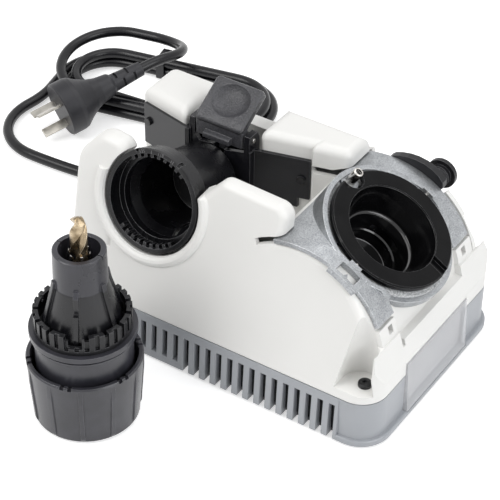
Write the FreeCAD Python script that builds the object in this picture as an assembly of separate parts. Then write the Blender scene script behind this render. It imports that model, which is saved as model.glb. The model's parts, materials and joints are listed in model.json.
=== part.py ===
import FreeCAD, Part
import math, os

# Bench drill bit sharpener. Millimetres, +X right, +Y back, +Z up, floor at Z = 0.

# Driving sizes
BASE_L = 217.0          # grey base at the parting line
BASE_W = 149.0
PART_Z = 32.4           # parting line between base and housing
FOOT_H = 1.5
FLARE_X = 3.0           # the base spreads towards the table
FLARE_Y = 2.0
CORNER_R = 17.0
WALL = 3.0
LEAN = 17.0             # front and rear walls lean inwards
TOP_Z = 119.0           # tower and rear block
VALLEY_Z = 60.0         # floor of the trough behind the front wall
VENT_N = 22             # comb of vents along the front
VENT_OPEN = 14
VENT_PITCH = 7.76
VENT_W = 3.9
VENT_TOP = 26.0
ARCH_X = 44.2           # axis of the angle arch, parallel to Y, through the grinding point
ARCH_Z = 50.4
ARCH_R = 58.8           # outer face of the die-cast plate
PLATE_T = 2.7
PLATE_Y0 = 21.5 - BASE_W / 2
PLATE_Y1 = BASE_W / 2 - 22.5
TILT = 59.0             # drill axis above +X: half of a 118 degree point
RIM_H = ARCH_R + 1.1    # rim of the sharpening tube from the grinding point
RIM_R = 39.5
TUBE_BORE = 28.85
COLLAR_IN = 41.2
COLLAR_OUT = 44.2
BOSS = (-36.6, 6.6)     # cam pin's boss beside the tube
PORT_X = -57.0          # centre of the alignment port's face, on the front wall
PORT_Z = 98.9
PORT_R = 32.0
PORT_LEN = 57.0
CHUCK_X = -49.0         # chuck standing in front of the machine
CHUCK_Y = -132.4
KNOB_R = 34.0
KNOB_FOOT_R = 30.9
KNOB_H = 43.8
NOSE_R = 15.2
NOSE_Z = 118.4
BIT_R = 4.9
BIT_TOP = 140.0
WHEEL_R = 12.7
WHEEL_W = 22.0
SHAFT_R = 2.5
MOTOR_R = 18.5
CORD_D = 7.4

V = FreeCAD.Vector
os.makedirs("parts", exist_ok=True)
S17 = math.tan(math.radians(LEAN))
HALF_L, HALF_W = BASE_L / 2, BASE_W / 2


def rad(a):
    return math.radians(a)


def box(x0, x1, y0, y1, z0, z1):
    return Part.makeBox(x1 - x0, y1 - y0, z1 - z0, V(x0, y0, z0))


def cyl(p, d, r, h):
    return Part.makeCylinder(r, h, V(*p), V(*d))


def cone(p, d, r0, r1, h):
    return Part.makeCone(r0, r1, h, V(*p), V(*d))


def ring(p, d, r_in, r_out, h):
    return cyl(p, d, r_out, h).cut(cyl(p, d, r_in, h))


def fuse(shapes):
    out = shapes[0]
    if len(shapes) > 1:
        out = out.fuse(list(shapes[1:]))
    return out.removeSplitter()


def solid_of(shape):
    s = shape.Solids
    return s[0] if len(s) == 1 else shape


def wire_of(pts, place):
    """closed wire of straight runs with corners (a, b, r) rounded to r"""
    n = len(pts)
    ends = []
    for i in range(n):
        a, b = pts[i][0], pts[i][1]
        r = pts[i][2] if len(pts[i]) > 2 else 0.0
        p0, p2 = pts[i - 1], pts[(i + 1) % n]
        ux, uy = p0[0] - a, p0[1] - b
        wx, wy = p2[0] - a, p2[1] - b
        lu, lw = math.hypot(ux, uy), math.hypot(wx, wy)
        ux, uy, wx, wy = ux / lu, uy / lu, wx / lw, wy / lw
        ang = math.acos(max(-1, min(1, ux * wx + uy * wy)))
        if r <= 0 or abs(math.pi - ang) < 1e-3:
            ends.append(((a, b), None, (a, b)))
            continue
        t = r / math.tan(ang / 2)
        bx, by = ux + wx, uy + wy
        lb = math.hypot(bx, by)
        k = r / math.sin(ang / 2) - r
        ends.append(((a + ux * t, b + uy * t), (a + bx / lb * k, b + by / lb * k), (a + wx * t,
            b + wy * t)))
    edges = []
    for i in range(n):
        s, m, e = ends[i]
        if m is not None:
            edges.append(Part.Arc(V(*place(*s)), V(*place(*m)), V(*place(*e))).toShape())
        nxt = ends[(i + 1) % n][0]
        if math.hypot(nxt[0] - e[0], nxt[1] - e[1]) > 1e-6:
            edges.append(Part.makeLine(V(*place(*e)), V(*place(*nxt))))
    return Part.Wire(edges)


def prism(pts, axis, a, b):
    """rounded outline extruded along an axis: x -> (y, z), y -> (x, z), z -> (x, y)"""
    place = {"x": lambda p, q: (a, p, q), "y": lambda p, q: (p, a, q), "z": lambda p, q: (p, q, a)}[axis]
    d = {"x": V(b - a, 0, 0), "y": V(0, b - a, 0), "z": V(0, 0, b - a)}[axis]
    return Part.Face(wire_of(pts, place)).extrude(d)


def rrect(x0, x1, y0, y1, r, z0, z1):
    return prism([(x0, y0, r), (x1, y0, r), (x1, y1, r), (x0, y1, r)], "z", z0, z1)


def revolve(profile, full=360):
    """outline (r, z) turned about the local Z axis"""
    pts = [V(r, 0, z) for r, z in profile]
    f = Part.Face(Part.makePolygon(pts + [pts[0]]))
    return f.revolve(V(0, 0, 0), V(0, 0, 1), full)


def fillet(shape, pick, radii, label):
    edges = [e for e in shape.Edges if pick(e)]
    if not edges:
        print("no edge for", label)
        return shape
    for r in radii:
        try:
            s = shape.makeFillet(r, edges)
            if s.isValid() and s.Volume > 0 and len(s.Solids) == len(shape.Solids):
                return s
        except Exception:
            pass
    print("left sharp:", label)
    return shape


def turned(shape, axis, deg, to):
    s = shape.copy()
    s.rotate(V(0, 0, 0), V(*axis), deg)
    s.translate(V(*to))
    return s


def tube_place(shape):
    """local Z on the drill axis, origin at the grinding point"""
    return turned(shape, (0, 1, 0), 90.0 - TILT, (ARCH_X, 0, ARCH_Z))


PORT_Y = -HALF_W + (PORT_Z - PART_Z) * S17


def port_place(shape):
    """local Z out of the alignment port's mouth, local Y up"""
    return turned(shape, (1, 0, 0), 90.0 - LEAN, (PORT_X, PORT_Y, PORT_Z))


def chuck_place(shape):
    s = shape.copy()
    s.translate(V(CHUCK_X, CHUCK_Y, 0))
    return s


NODES = []
# the origin lies on the floor under the middle of the machine and its chuck
ORIGIN_X = -1.04
ORIGIN_Y = (CHUCK_Y - KNOB_R + HALF_W + 4.97) / 2


def save(name, shape):
    shape = solid_of(shape).copy()
    shape.translate(V(-ORIGIN_X, -ORIGIN_Y, 0))
    if not shape.isValid():
        shape = shape.copy()
        shape.fix(1e-5, 1e-5, 1e-4)
    shape.exportStep("parts/%s.step" % name)
    NODES.append(name)
    b = shape.BoundBox
    print("%-20s solids %d vol %9.1f  x %.1f %.1f y %.1f %.1f z %.1f %.1f%s" % (
        name, len(shape.Solids), shape.Volume, b.XMin, b.XMax, b.YMin, b.YMax, b.ZMin, b.ZMax,
        "" if shape.isValid() else "  NOT VALID"))


# Grey base with its comb of vents and the tray window
BX, BY = HALF_L, HALF_W
lip = rrect(-BX - FLARE_X, BX + FLARE_X, -BY - FLARE_Y, BY + FLARE_Y, CORNER_R + 3, FOOT_H, FOOT_H + 3.5)
lip = fillet(lip, lambda e: abs(e.BoundBox.ZMin - (FOOT_H + 3.5)) < 0.01 and e.BoundBox.ZLength < 0.01,
    (1.2, 0.8), "lip")
walls = rrect(-BX, BX, -BY, BY, CORNER_R, FOOT_H, PART_Z)
comb = prism([(-BY + 6, FOOT_H), (-BY - FLARE_Y, FOOT_H), (-BY - 0.15, PART_Z), (-BY + 6, PART_Z)], "x",
    -87.0, 87.0)
comb_back = prism([(BY - 6, FOOT_H), (BY + FLARE_Y, FOOT_H), (BY + 0.15, PART_Z), (BY - 6, PART_Z)], "x",
    -87.0, 87.0)
base = fuse([lip, walls, comb, comb_back])
base = base.cut(rrect(-BX + WALL, BX - WALL, -BY + WALL, BY - WALL, CORNER_R - WALL, FOOT_H + 2.5,
    PART_Z + 5))
FIRST_VENT = 82.8
SWITCH_X, SWITCH_Z = -62.0, 19.0
cuts = []
for i in range(VENT_N):
    xv = FIRST_VENT - VENT_PITCH * i
    z0 = FOOT_H - 1.0 if i < VENT_OPEN else 6.5
    cuts.append(box(xv - VENT_W / 2, xv + VENT_W / 2, -BY - 5, -BY + WALL + 1.5, z0, VENT_TOP))
    if i % 2 == 0 and abs(xv - SWITCH_X) > 15:
        cuts.append(box(xv - VENT_W / 2, xv + VENT_W / 2, BY - WALL - 1.5, BY + 5, 8.0, VENT_TOP))
base = base.cut(Part.makeCompound(cuts))
TRAY_Y0, TRAY_Y1 = -35.6, 36.2
base = base.cut(box(BX - 8, BX + 6, TRAY_Y0 - 0.5, TRAY_Y1 + 0.5, FOOT_H + 2.5, PART_Z + 1))
posts = []
SCREWS = [(96.0, -61.5), (96.0, 61.5), (-97.5, -61.5), (-97.5, 61.5)]
for (px, py) in SCREWS:
    posts.append(ring((px, py, FOOT_H + 2.5), (0, 0, 1), 1.55, 5.5, PART_Z - FOOT_H - 2.5))
MOT_Y, MOT_Z = 0.0, ARCH_Z - 3.0 - WHEEL_R
MOT_X0, MOT_X1 = -48.0, 14.0
for xr in (MOT_X0 + 9, MOT_X1 - 11):
    saddle = box(xr, xr + 4, -24, 24, FOOT_H + 2.5, MOT_Z - 2)
    posts.append(saddle.cut(cyl((xr - 1, MOT_Y, MOT_Z), (1, 0, 0), MOTOR_R, 8)))
for yr in (TRAY_Y0 - 2.6, TRAY_Y1 + 0.6):
    posts.append(box(66, BX - 2.9, yr, yr + 2, FOOT_H + 2.5, 12))
base = fuse([base] + posts)
feet_at = [(92, -60), (92, 60), (-92, -60), (-92, 60)]
for (px, py) in feet_at:
    base = base.cut(cyl((px, py, FOOT_H), (0, 0, 1), 5.0, 1.0))
base = base.cut(box(SWITCH_X - 9.6, SWITCH_X + 9.6, BY - 8, BY + 4, SWITCH_Z - 6.1, SWITCH_Z + 6.1))
EXIT_Y, EXIT_Z = 52.0, 14.0
base = base.cut(cyl((-BX - 8, EXIT_Y, EXIT_Z), (1, 0, 0), 5.2, 20))
seam = rrect(-BX - 9, BX + 9, -BY - 9, BY + 9, 10, PART_Z - 0.7, PART_Z + 1).cut(
    rrect(-BX + 0.8, BX - 0.8, -BY + 0.8, BY - 0.8, CORNER_R - 0.8, PART_Z - 2, PART_Z + 2))
base = base.cut(seam)
save("base_shell", base)
feet = Part.makeCompound([cyl((px, py, 0), (0, 0, 1), 4.7, FOOT_H + 1.0) for (px, py) in feet_at])
save("base_feet", feet)


# White housing
def wedge(inset, z0, z1, x0, x1):
    k = inset / math.cos(rad(LEAN))
    y0, y1 = -BY + (z0 - PART_Z) * S17 + k, -BY + (z1 - PART_Z) * S17 + k
    return prism([(y0, z0), (-y0, z0), (-y1, z1), (y1, z1)], "x", x0, x1)


def drum(r, y0=-90.0, y1=90.0):
    return cyl((ARCH_X, y0, ARCH_Z), (0, 1, 0), r, y1 - y0)


def sector(r0, r1, y0, y1, a0, a1):
    """slice of a tube about the arch axis between two angles above +X"""
    prof = Part.Face(Part.makePolygon([V(ARCH_X + r0, y0, ARCH_Z), V(ARCH_X + r1, y0, ARCH_Z),
        V(ARCH_X + r1, y1, ARCH_Z),
                                       V(ARCH_X + r0, y1, ARCH_Z), V(ARCH_X + r0, y0, ARCH_Z)]))
    s = prof.revolve(V(ARCH_X, 0, ARCH_Z), V(0, -1, 0), a1 - a0)
    s.rotate(V(ARCH_X, 0, ARCH_Z), V(0, -1, 0), a0)
    return s


SADDLE_R = ARCH_R - PLATE_T - 0.3
outer_lower = prism([(-BX, PART_Z), (BX, PART_Z), (BX, 43), (BX - 5.5, 62.5), (-BX - 2.4, 62.5)], "y", -90,
    90)
outer_lower = outer_lower.common(wedge(0, PART_Z, 140, -130, 130))
outer_lower = outer_lower.common(rrect(-BX - 3, BX, -BY, BY, CORNER_R, PART_Z, 140))

lobe = prism([(-BX - 1.5, 52), (-BX - 5.6, 109, 16), (-98, 127, 13), (-78.5, 124.5, 9), (-78.5, 52)], "y",
    -90, -33)
lobe = lobe.common(wedge(0, PART_Z, 140, -130, 130))
lobe = fillet(lobe, lambda e: e.BoundBox.ZMax > 90 and e.BoundBox.ZMin > 51.9 and e.BoundBox.XMax < -78.6
              and abs(e.CenterOfMass.y - (-BY + (e.CenterOfMass.z - PART_Z) * S17)) < 1.0, (6.5, 5.0, 3.5,
                  2.0), "lobe front")
lobe = fillet(lobe, lambda e: e.BoundBox.YMin > -33.1 and e.BoundBox.ZMax > 90 and e.BoundBox.XMax < -78.6,
    (5.0, 3.5, 2.0), "lobe rear")
shoulder = prism([(-80, 52), (-80, 92), (-24.0, 92), (-24.0, 113.0, 5), (-12.0, 126, 7), (33.0, 124, 8),
    (30.5, 98), (24, 98),
                  (24, 52)], "y", -90, -36)
shoulder = shoulder.common(wedge(0, PART_Z, 140, -130, 130))
shoulder = fillet(shoulder, lambda e: e.BoundBox.ZMin > 91.9 and e.BoundBox.ZMax > 110
                  and abs(e.CenterOfMass.y - (-BY + (e.CenterOfMass.z - PART_Z) * S17)) < 1.2, (5.0, 4.0,
                      3.0, 2.0), "shoulder front")
shoulder = fillet(shoulder, lambda e: e.BoundBox.YMin > -36.1 and e.BoundBox.ZMin > 97.9, (3.0, 2.0),
    "shoulder rear")
TOWER = [(-BX - 4.5, 17.5, 2.5), (-76.0, 9.5, 2.5), (-76.0, 80), (-BX - 4.5, 80)]
tower = prism(TOWER, "z", 52, TOP_Z).common(wedge(0, PART_Z, 140, -130, 130))
tower = fillet(tower, lambda e: e.BoundBox.ZMin > TOP_Z - 0.1, (6.0, 4.5, 3.0), "tower top")
tower = fillet(tower, lambda e: e.BoundBox.YMin > 40 and e.BoundBox.ZMin < 55 and e.BoundBox.ZLength > 30,
    (6.0, 4.0), "tower rear")
BLOCK = [(-28.0, 17.0, 3), (5.0, 25.6), (5.6, 22.6, 1.5), (29.0, 28.6, 5), (29.0, 80), (-28.0, 80)]
block = prism(BLOCK, "z", 52, TOP_Z).common(wedge(0, PART_Z, 140, -130, 130))
block = fillet(block, lambda e: e.BoundBox.ZMin > TOP_Z - 0.1, (5.5, 4.0, 3.0, 1.5), "block top")
rear_wall = prism([(-80, 52), (-80, 101, 0), (-24, 101, 0), (-24, 52)], "y", 43.5, 90).common(wedge(0,
    PART_Z, 140, -130, 130))
drum_out = drum(SADDLE_R).common(wedge(0, PART_Z, 140, 22, 130))
drum_out = fillet(drum_out, lambda e: e.CenterOfMass.y < -40 and e.BoundBox.ZMax > 95
                  and e.BoundBox.XLength > 40 and e.BoundBox.ZLength > 40, (5.0, 4.0, 3.0, 2.0), "arch front")
lip_ring = revolve([(33.4, -14), (40.0, -14), (40.0, 0.0), (39.0, 1.8), (37.2, 2.7), (35.4, 2.4), (34.0,
    1.2), (33.4, -0.8)])
lip_ring = port_place(lip_ring).common(prism([(-100, 50), (-100, 108), (-78, 108), (-57, 90), (-24, 113),
    (-10, 113), (-10, 50)], "y", -90, 0))
rail = fuse([sector(48, SADDLE_R, PLATE_Y1 - 8.0, PLATE_Y1 + 4.5, 12, 120), sector(48, ARCH_R + 0.4,
    PLATE_Y1 + 1.2, PLATE_Y1 + 4.5, 12, 120)])
tracks = [sector(SADDLE_R - 1, ARCH_R, PLATE_Y0 - 1.0, PLATE_Y0 + 16.0, 0, 22), sector(SADDLE_R - 1, ARCH_R,
    PLATE_Y1 - 16.0, PLATE_Y1 + 1.0, 0, 22)]
outer = fuse([outer_lower, drum_out, shoulder, lobe, tower, block, rear_wall, lip_ring, rail] + tracks)

# hollow inside
void_low = prism([(-BX + WALL, PART_Z - 3), (BX - WALL - 1.5, PART_Z - 3), (BX - WALL - 6, VALLEY_Z - 2.5),
    (-BX + WALL - 1, VALLEY_Z - 2.5)], "y", -90, 90)
void_low = void_low.common(wedge(WALL, PART_Z - 3, 140, -130, 130))
void_low = void_low.common(rrect(-BX + WALL - 1, BX - WALL, -BY + WALL, BY - WALL, CORNER_R - WALL,
    PART_Z - 3, 140))
void_drum = drum(SADDLE_R - WALL).common(wedge(WALL, PART_Z - 3, 140, 25.0, 130)).common(box(20, BX - WALL,
    -90, 90, PART_Z - 3, 140))
void_lobe = prism([(-BX + 0.5, 50), (-BX - 2.2, 106, 9), (-98, 123, 9), (-90, 122.5), (-92, 100), (-92,
    50)], "y", -90, -36.5).common(wedge(WALL, 50, 140, -130, 130))
void_shoulder = prism([(-19, 50), (-19, 111), (-10, 122), (29, 120.5), (27.5, 104), (21, 96), (21, 50)],
    "y", -90, -39).common(wedge(WALL, 50, 140, -130, 130))
void_tower = prism([(-BX - 1.4, 20.8), (-79, 13.5), (-79, 80), (-BX - 1.4, 80)], "z", 50,
    TOP_Z - 3).common(wedge(WALL, 50, 140, -130, 130))
void_block = prism([(-25, 21.2), (4.0, 28.8), (7.5, 26.6), (26, 31.4), (26, 80), (-25, 80)], "z", 50,
    TOP_Z - 3).common(wedge(WALL, 50, 140, -130, 130))
housing = outer.cut(fuse([void_low, void_drum]))
for v in (void_lobe, void_shoulder, void_tower, void_block):
    housing = housing.cut(v)

# port cradle and the plate's sweep
port_cut = port_place(cyl((0, 0, -30), (0, 0, 1), 33.4, 40))
port_tail = port_place(cyl((0, 0, -60), (0, 0, 1), 27.0, 40))
housing = housing.cut(port_cut).cut(port_tail)


curtain = box(94, BX - 1, -48, 48, 41.2, 57.6).cut(drum(SADDLE_R - WALL))
housing = housing.fuse(curtain.common(outer))
housing = housing.cut(sector(SADDLE_R, ARCH_R + 0.8, PLATE_Y0 - 1.0, PLATE_Y1 + 1.0, 22.0, 119.5))
slot = fuse([turned(cyl((0, 0, 20), (0, 0, 1), 35.0, 45), (0, 1, 0), 90.0 - t, (ARCH_X, 0,
    ARCH_Z)) for t in (57.0, 61.5, 66.0, 70.5)])
housing = housing.cut(slot)
housing = housing.cut(sector(ARCH_R - 5.8, ARCH_R + 8, PLATE_Y1 - 0.3, PLATE_Y1 + 8, 52.0, 104.5))

# corner pockets with their screw ledges
LEDGE_Z = PART_Z + 5.0


def stadium(cx, y_in, y_out, r, z):
    sy = 1 if y_out > y_in else -1
    p = [V(cx - r, y_out, z), V(cx - r, y_in + sy * r, z), V(cx, y_in, z), V(cx + r, y_in + sy * r, z),
        V(cx + r, y_out, z)]
    return Part.Wire([Part.makeLine(p[0], p[1]), Part.Arc(p[1], p[2], p[3]).toShape(), Part.makeLine(p[3],
        p[4]), Part.makeLine(p[4], p[0])])


for (px, py) in SCREWS:
    sy = 1 if py > 0 else -1
    pc = px - 2.5 if px > 0 else px + 2.5
    top = 84.0 if px > 0 else 56.0
    flute = Part.makeLoft([stadium(pc, sy * 51.5, sy * 100, 11.5, LEDGE_Z), stadium(pc + 1.5, sy * 54.5,
        sy * 100, 5.5, top)], True, True)
    shell = Part.makeLoft([stadium(pc, sy * 48.5, sy * 100, 14.0, PART_Z), stadium(pc + 1.5, sy * 51.5,
        sy * 100, 8.0, top + 3)], True, True)
    housing = housing.fuse(shell.common(outer)).cut(flute)
    housing = housing.cut(cyl((px, py, PART_Z - 1), (0, 0, 1), 2.1, 10))

housing = housing.cut(port_cut).cut(port_tail)
for t in (TILT - 2.0, TILT):
    sweep_cut = cyl((0, 0, 36), (0, 0, 1), COLLAR_OUT + 0.7, ARCH_R - 28).cut(box(5, 60, -60, 60, 30,
        ARCH_R - 13.8))
    housing = housing.cut(turned(sweep_cut, (0, 1, 0), 90.0 - t, (ARCH_X, 0, ARCH_Z)).cut(drum(SADDLE_R)))

# tray head room, its window and the dial window marks at the right-hand end
housing = housing.cut(box(BX - 9.5, BX + 5, TRAY_Y0 - 0.5, TRAY_Y1 + 0.5, PART_Z - 1, 40.6))
for yh in (-43.0, 43.5):
    housing = housing.cut(box(ARCH_X + 45, BX + 5, yh - 2.2, yh + 2.2, ARCH_Z + 15, ARCH_Z + 20))
housing = housing.cut(box(ARCH_X + 45, BX + 5, -36.5, -33.8, ARCH_Z + 2, ARCH_Z + 16))
housing = housing.cut(prism([(5.5, 99.0, 2), (21.5, 99.0, 2), (21.5, 104.2, 2), (5.5, 104.2, 2)], "y", 15,
    35))
housing = housing.cut(box(90, BX + 5, PLATE_Y0 + 17.0, PLATE_Y1 - 16.5, 56.0, 75).cut(drum(SADDLE_R)))
housing = housing.removeSplitter()

# Screws down through the ledges
heads = []
for (px, py) in SCREWS:
    sc = fuse([cyl((px, py, LEDGE_Z), (0, 0, 1), 4.1, 2.6), cyl((px, py, 14), (0, 0, 1), 1.5,
        LEDGE_Z - 14)])
    sc = fillet(sc, lambda e: e.BoundBox.ZMin > LEDGE_Z + 2.5, (1.0,), "screw head")
    sc = sc.cut(prism([(px + 1.7 * math.cos(rad(60 * k)),
        py + 1.7 * math.sin(rad(60 * k))) for k in range(6)], "z", LEDGE_Z + 1.0, LEDGE_Z + 4))
    heads.append(sc)
save("housing_screws", Part.makeCompound(heads))

# Bracket behind the alignment port: wings on tower and block, cradle for the tube, ears for the lever
HINGE_Y, HINGE_Z = 14.5, 113.0
WALL_Y0, WALL_Y1 = 9.5, 12.0


def along(p, q, t0, t1, d0, d1):
    """plan outline of a plate lying against the line p q on its front side"""
    ux, uy = q[0] - p[0], q[1] - p[1]
    ll = math.hypot(ux, uy)
    ux, uy = ux / ll, uy / ll
    nx, ny = uy, -ux
    return [(p[0] + ux * t + nx * d, p[1] + uy * t + ny * d) for t, d in ((t0, d0), (t1, d0), (t1, d1), (t0,
        d1))]


T0, T1 = (-BX - 4.5, 17.5), (-76.0, 9.5)
B0, B1 = (-28.0, 17.0), (5.0, 25.6)
wing_l = prism(along(T0, T1, 2.7, 39.5, 0.0, 2.2), "z", 81.0, 110.0)
wing_r = prism(along(B0, B1, -3.0, 33.2, 0.0, 2.2), "z", 71.0, 106.5)
wing_r = wing_r.cut(box(-2.5, 10, 10, 40, 60, 78))
mid = prism([(-75.8, 63), (-29.4, 63), (-29.4, 106.5), (-31, 106.5), (-47, 102.5), (-53, 104.5), (-66.0,
    102.5), (-71, 109.5), (-75.8, 109.5)], "y", WALL_Y0, WALL_Y1)
link = box(-33.5, -29.4, WALL_Y0, 17.2, 71.0, 106.5)
mid = mid.cut(box(-33.0, -29.4, WALL_Y1 - 2.5, 30, 106.6, 120))
cradle = port_place(ring((0, 0, -74), (0, 0, 1), 23.9, 26.4, 36))
cradle = cradle.common(fuse([box(-75.4, -38.6, -40, -5.5, 58.3, 83), box(-75.4, -38.6, -40, WALL_Y0 + 1,
    63.2, 83)]))
cradle = cradle.common(port_place(box(-40, 40, -40, -9, -80, 0)))
ears = []
for x0 in (-73.5, -34.0):
    ear = prism([(WALL_Y0, 98), (21, 98), (21, HINGE_Z, 0), (HINGE_Y + 4.2, HINGE_Z + 4.2), (HINGE_Y - 4.2,
        HINGE_Z + 4.2), (WALL_Y0, HINGE_Z)], "x", x0, x0 + 4.0)
    ears.append(ear)
ribs = [box(-75.5, -34.0, WALL_Y1 - 0.5, 17.0, 70.6, 72.4), box(-75.5, -34.0, WALL_Y1 - 0.5, 17.0, 86.4,
    88.2)]
corner = box(-75.8, -72.5, 7.3, 10.5, 81.0, 109.5)
bracket = fuse([mid, corner, wing_l, wing_r, link, cradle] + ears + ribs)
bracket = bracket.cut(cyl((-90, HINGE_Y, HINGE_Z), (1, 0, 0), 1.6, 80))
BORE_T = (WALL_Y0 - PORT_Y) / math.cos(rad(LEAN))
BORE_Z = PORT_Z - BORE_T * math.sin(rad(LEAN))
bracket = bracket.cut(port_place(cyl((0, 0, -90), (0, 0, 1), 9.0, 40)))
bracket = bracket.cut(box(-55.4, -48.0, 8, WALL_Y1 + 0.4, 98.0, 106))
NL = ((T1[1] - T0[1]) / 37.952, -(T1[0] - T0[0]) / 37.952)
NR = ((B1[1] - B0[1]) / 34.102, -(B1[0] - B0[0]) / 34.102)
SL = (-106.4 + NL[0] * 2.2, 17.5 - 8.0 * 6.7 / 37.1 + NL[1] * 2.2, 98.0)
SR = (-1.2 + NR[0] * 2.2, 17.0 + 8.6 * 26.8 / 33.0 + NR[1] * 2.2, 92.0)
screws = []
for p, n in ((SL, NL), (SR, NR)):
    shank = cyl(p, (-n[0], -n[1], 0), 1.2, 6.5)
    bracket = bracket.cut(cyl((p[0] + n[0], p[1] + n[1], p[2]), (-n[0], -n[1], 0), 1.35, 8))
    housing = housing.cut(cyl((p[0] - n[0] * 2.0, p[1] - n[1] * 2.0, p[2]), (-n[0], -n[1], 0), 1.25, 6))
    screws.append(fuse([cyl(p, (n[0], n[1], 0), 2.6, 1.6), shank]))
save("top_housing", housing)
save("alignment_bracket", bracket)
save("bracket_screws", Part.makeCompound(screws))
save("lever_pin", cyl((-75.0, HINGE_Y, HINGE_Z), (1, 0, 0), 1.5, 45.5))

# Thumb lever with its dished rest, and the two pawls it opens
LX0, LX1 = -68.9, -34.6
paddle = prism([(9.0, 119.0, 2.0), (12.0, 122.0, 2.5), (34.0, 135.2, 2.0), (36.0, 131.2, 1.5), (20.0,
    121.5), (14.5, 117.5), (14.5, 108.0), (9.0, 108.0)], "x", LX0, LX1)
paddle = fillet(paddle, lambda e: e.BoundBox.YMin > 30 and e.BoundBox.XLength < 0.01, (2.6, 1.8, 1.2, 0.8),
    "paddle rear corners")
hub = cyl((LX0 + 0.6, HINGE_Y, HINGE_Z), (1, 0, 0), 4.2, LX1 - LX0 - 1.2)
dish_n = V(0, -0.514, 0.858)
dish_c = V((LX0 + LX1) / 2, 22.8, 128.5) + dish_n * 20.4
dish = Part.makeSphere(24.0, dish_c)


def on_slope(u, n):
    return (12.0 + 0.857 * u - 0.514 * n, 122.0 + 0.514 * u + 0.857 * n)


recess = prism([on_slope(-6, -0.9), on_slope(23.4, -0.9), on_slope(23.4, 6), on_slope(-6, 6)], "x",
    LX0 + 2.2,
    LX1 - 2.2)
finger = box(-53.6, -49.8, 12.8, 16.6, 100.0, 111.0)
ledge = prism([(5.6, 109.0, 0.8), (5.6, 112.4, 0.8), (9.5, 113.4), (9.5, 108.0)], "x", -61.0, -42.5)
lever = fuse([paddle.cut(recess).cut(dish), hub, finger, ledge]).cut(cyl((-90, HINGE_Y, HINGE_Z), (1, 0,
    0), 1.56, 80))
save("thumb_lever", lever)
PAWL_Z0, PAWL_Z1 = 72.6, 86.2
for nm, sx in (("pawl_left", -1), ("pawl_right", 1)):
    x_in, x_out = PORT_X + sx * 1.2, PORT_X + sx * 13.0
    pw = prism([(x_out, PAWL_Z0), (x_out, PAWL_Z1), (x_in + sx * 2.5, PAWL_Z1), (x_in, BORE_Z + 3.5),
        (x_in + sx * 3.0, BORE_Z), (x_in, BORE_Z - 3.5), (x_in + sx * 2.5, PAWL_Z0)], "y", WALL_Y1 + 0.15,
        16.6)
    save(nm, pw)

# Alignment tube with its toothed mouth
tube = revolve([(28.9, 0), (PORT_R, 0), (PORT_R, -4.6), (31.0, -6.0), (31.0, -13.0), (23.9, -20.0), (23.5,
    -PORT_LEN), (9.5, -PORT_LEN), (9.5, -PORT_LEN + 1.6), (20.2, -PORT_LEN + 2.6), (22.2, -21.0), (25.2,
    -15.5), (25.2, -9.5), (28.9, -9.5)])
tube = fillet(tube, lambda e: abs(e.BoundBox.ZMax) < 0.01 and e.BoundBox.XMax > 31.5, (0.8,), "flange edge")
teeth = []
for c in (90, 270):
    for k in range(-4, 5):
        tth = box(26.4, 29.4, -1.0, 1.0, -5.6, -0.8)
        tth.rotate(V(0, 0, 0), V(0, 0, 1), c + 9.5 * k)
        teeth.append(tth)
tube = fuse([tube] + teeth)
tube = tube.cut(turned(box(15, 26, -1.6, 1.6, -34, -16), (0, 0, 1), -65, (0, 0, 0)))
for a in (62, 118):
    tube = tube.cut(turned(box(30.2, 34, -1.0, 1.0, -6, 1), (0, 0, 1), a, (0, 0, 0)))
save("alignment_tube", port_place(tube))

# Die-cast angle plate on the arch, with the collar round the sharpening tube
plate = sector(ARCH_R - PLATE_T, ARCH_R, PLATE_Y0, PLATE_Y1, 24, 107)
plate = plate.cut(sector(ARCH_R - 10, ARCH_R + 5, PLATE_Y0 + 17.0, PLATE_Y1 - 17.0, 20, 59))
PIVOT_H = ARCH_R - 0.7
COLLAR_H = ARCH_R - 1.6
SEAL_H = ARCH_R - 12.8
collar = ring((0, 0, 28), (0, 0, 1), COLLAR_IN, COLLAR_OUT, COLLAR_H - 28)
collar = collar.cut(prism([(20, COLLAR_H + 9), (20, COLLAR_H), (26, SEAL_H + 5.8), (60, SEAL_H + 5.8),
    (60, COLLAR_H + 9)], "y", -60, 60))
collar = collar.cut(prism([(14, 20), (22, SEAL_H), (60, SEAL_H), (60, 20)], "y", -60, 60))
lugs = ring((0, 0, COLLAR_H - 1.2), (0, 0, 1), COLLAR_IN, COLLAR_OUT, PIVOT_H + 3.6 - COLLAR_H).common(
    box(-4, 4, -60, 60, 40, ARCH_R + 15))
boss = cyl(BOSS + (28,), (0, 0, 1), 5.7, ARCH_R - 3.3 - 28)
ring_part = tube_place(fuse([collar, lugs, boss])).cut(drum(ARCH_R - PLATE_T))
plate = plate.cut(tube_place(cyl((0, 0, 20), (0, 0, 1), COLLAR_IN + 0.5, ARCH_R + 5)))
frame = sector(ARCH_R - PLATE_T, ARCH_R + 1.4, PLATE_Y0 - 3.5, PLATE_Y0 + 9.5, 49, 69)
plate = fuse([plate, ring_part, frame])
plate = plate.cut(sector(ARCH_R - 9, ARCH_R + 6, PLATE_Y0 - 0.8, PLATE_Y0 + 6.8, 52.5, 65.5))
pointer = prism([(-2.6, 0), (2.6, 0), (0, 4.6)], "z", 0, 2.2)
pointer = turned(pointer, (0, 0, 1), 0, (0, PLATE_Y0 - 1.0, ARCH_R - PLATE_T))
plate = plate.fuse(tube_place(pointer)).removeSplitter()
plate = plate.cut(tube_place(cyl(BOSS + (30,), (0, 0, 1), 3.0, ARCH_R)))
for sy in (-1, 1):
    plate = plate.cut(tube_place(cyl((0, sy * 40, PIVOT_H), (0, sy, 0), 1.25, 6)))
save("angle_plate", plate)
pin = fillet(cyl(BOSS + (ARCH_R - 14.8,), (0, 0, 1), 3.0, 22.5), lambda e: e.BoundBox.ZMin > ARCH_R + 7,
    (0.6,), "pin tip")
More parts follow.
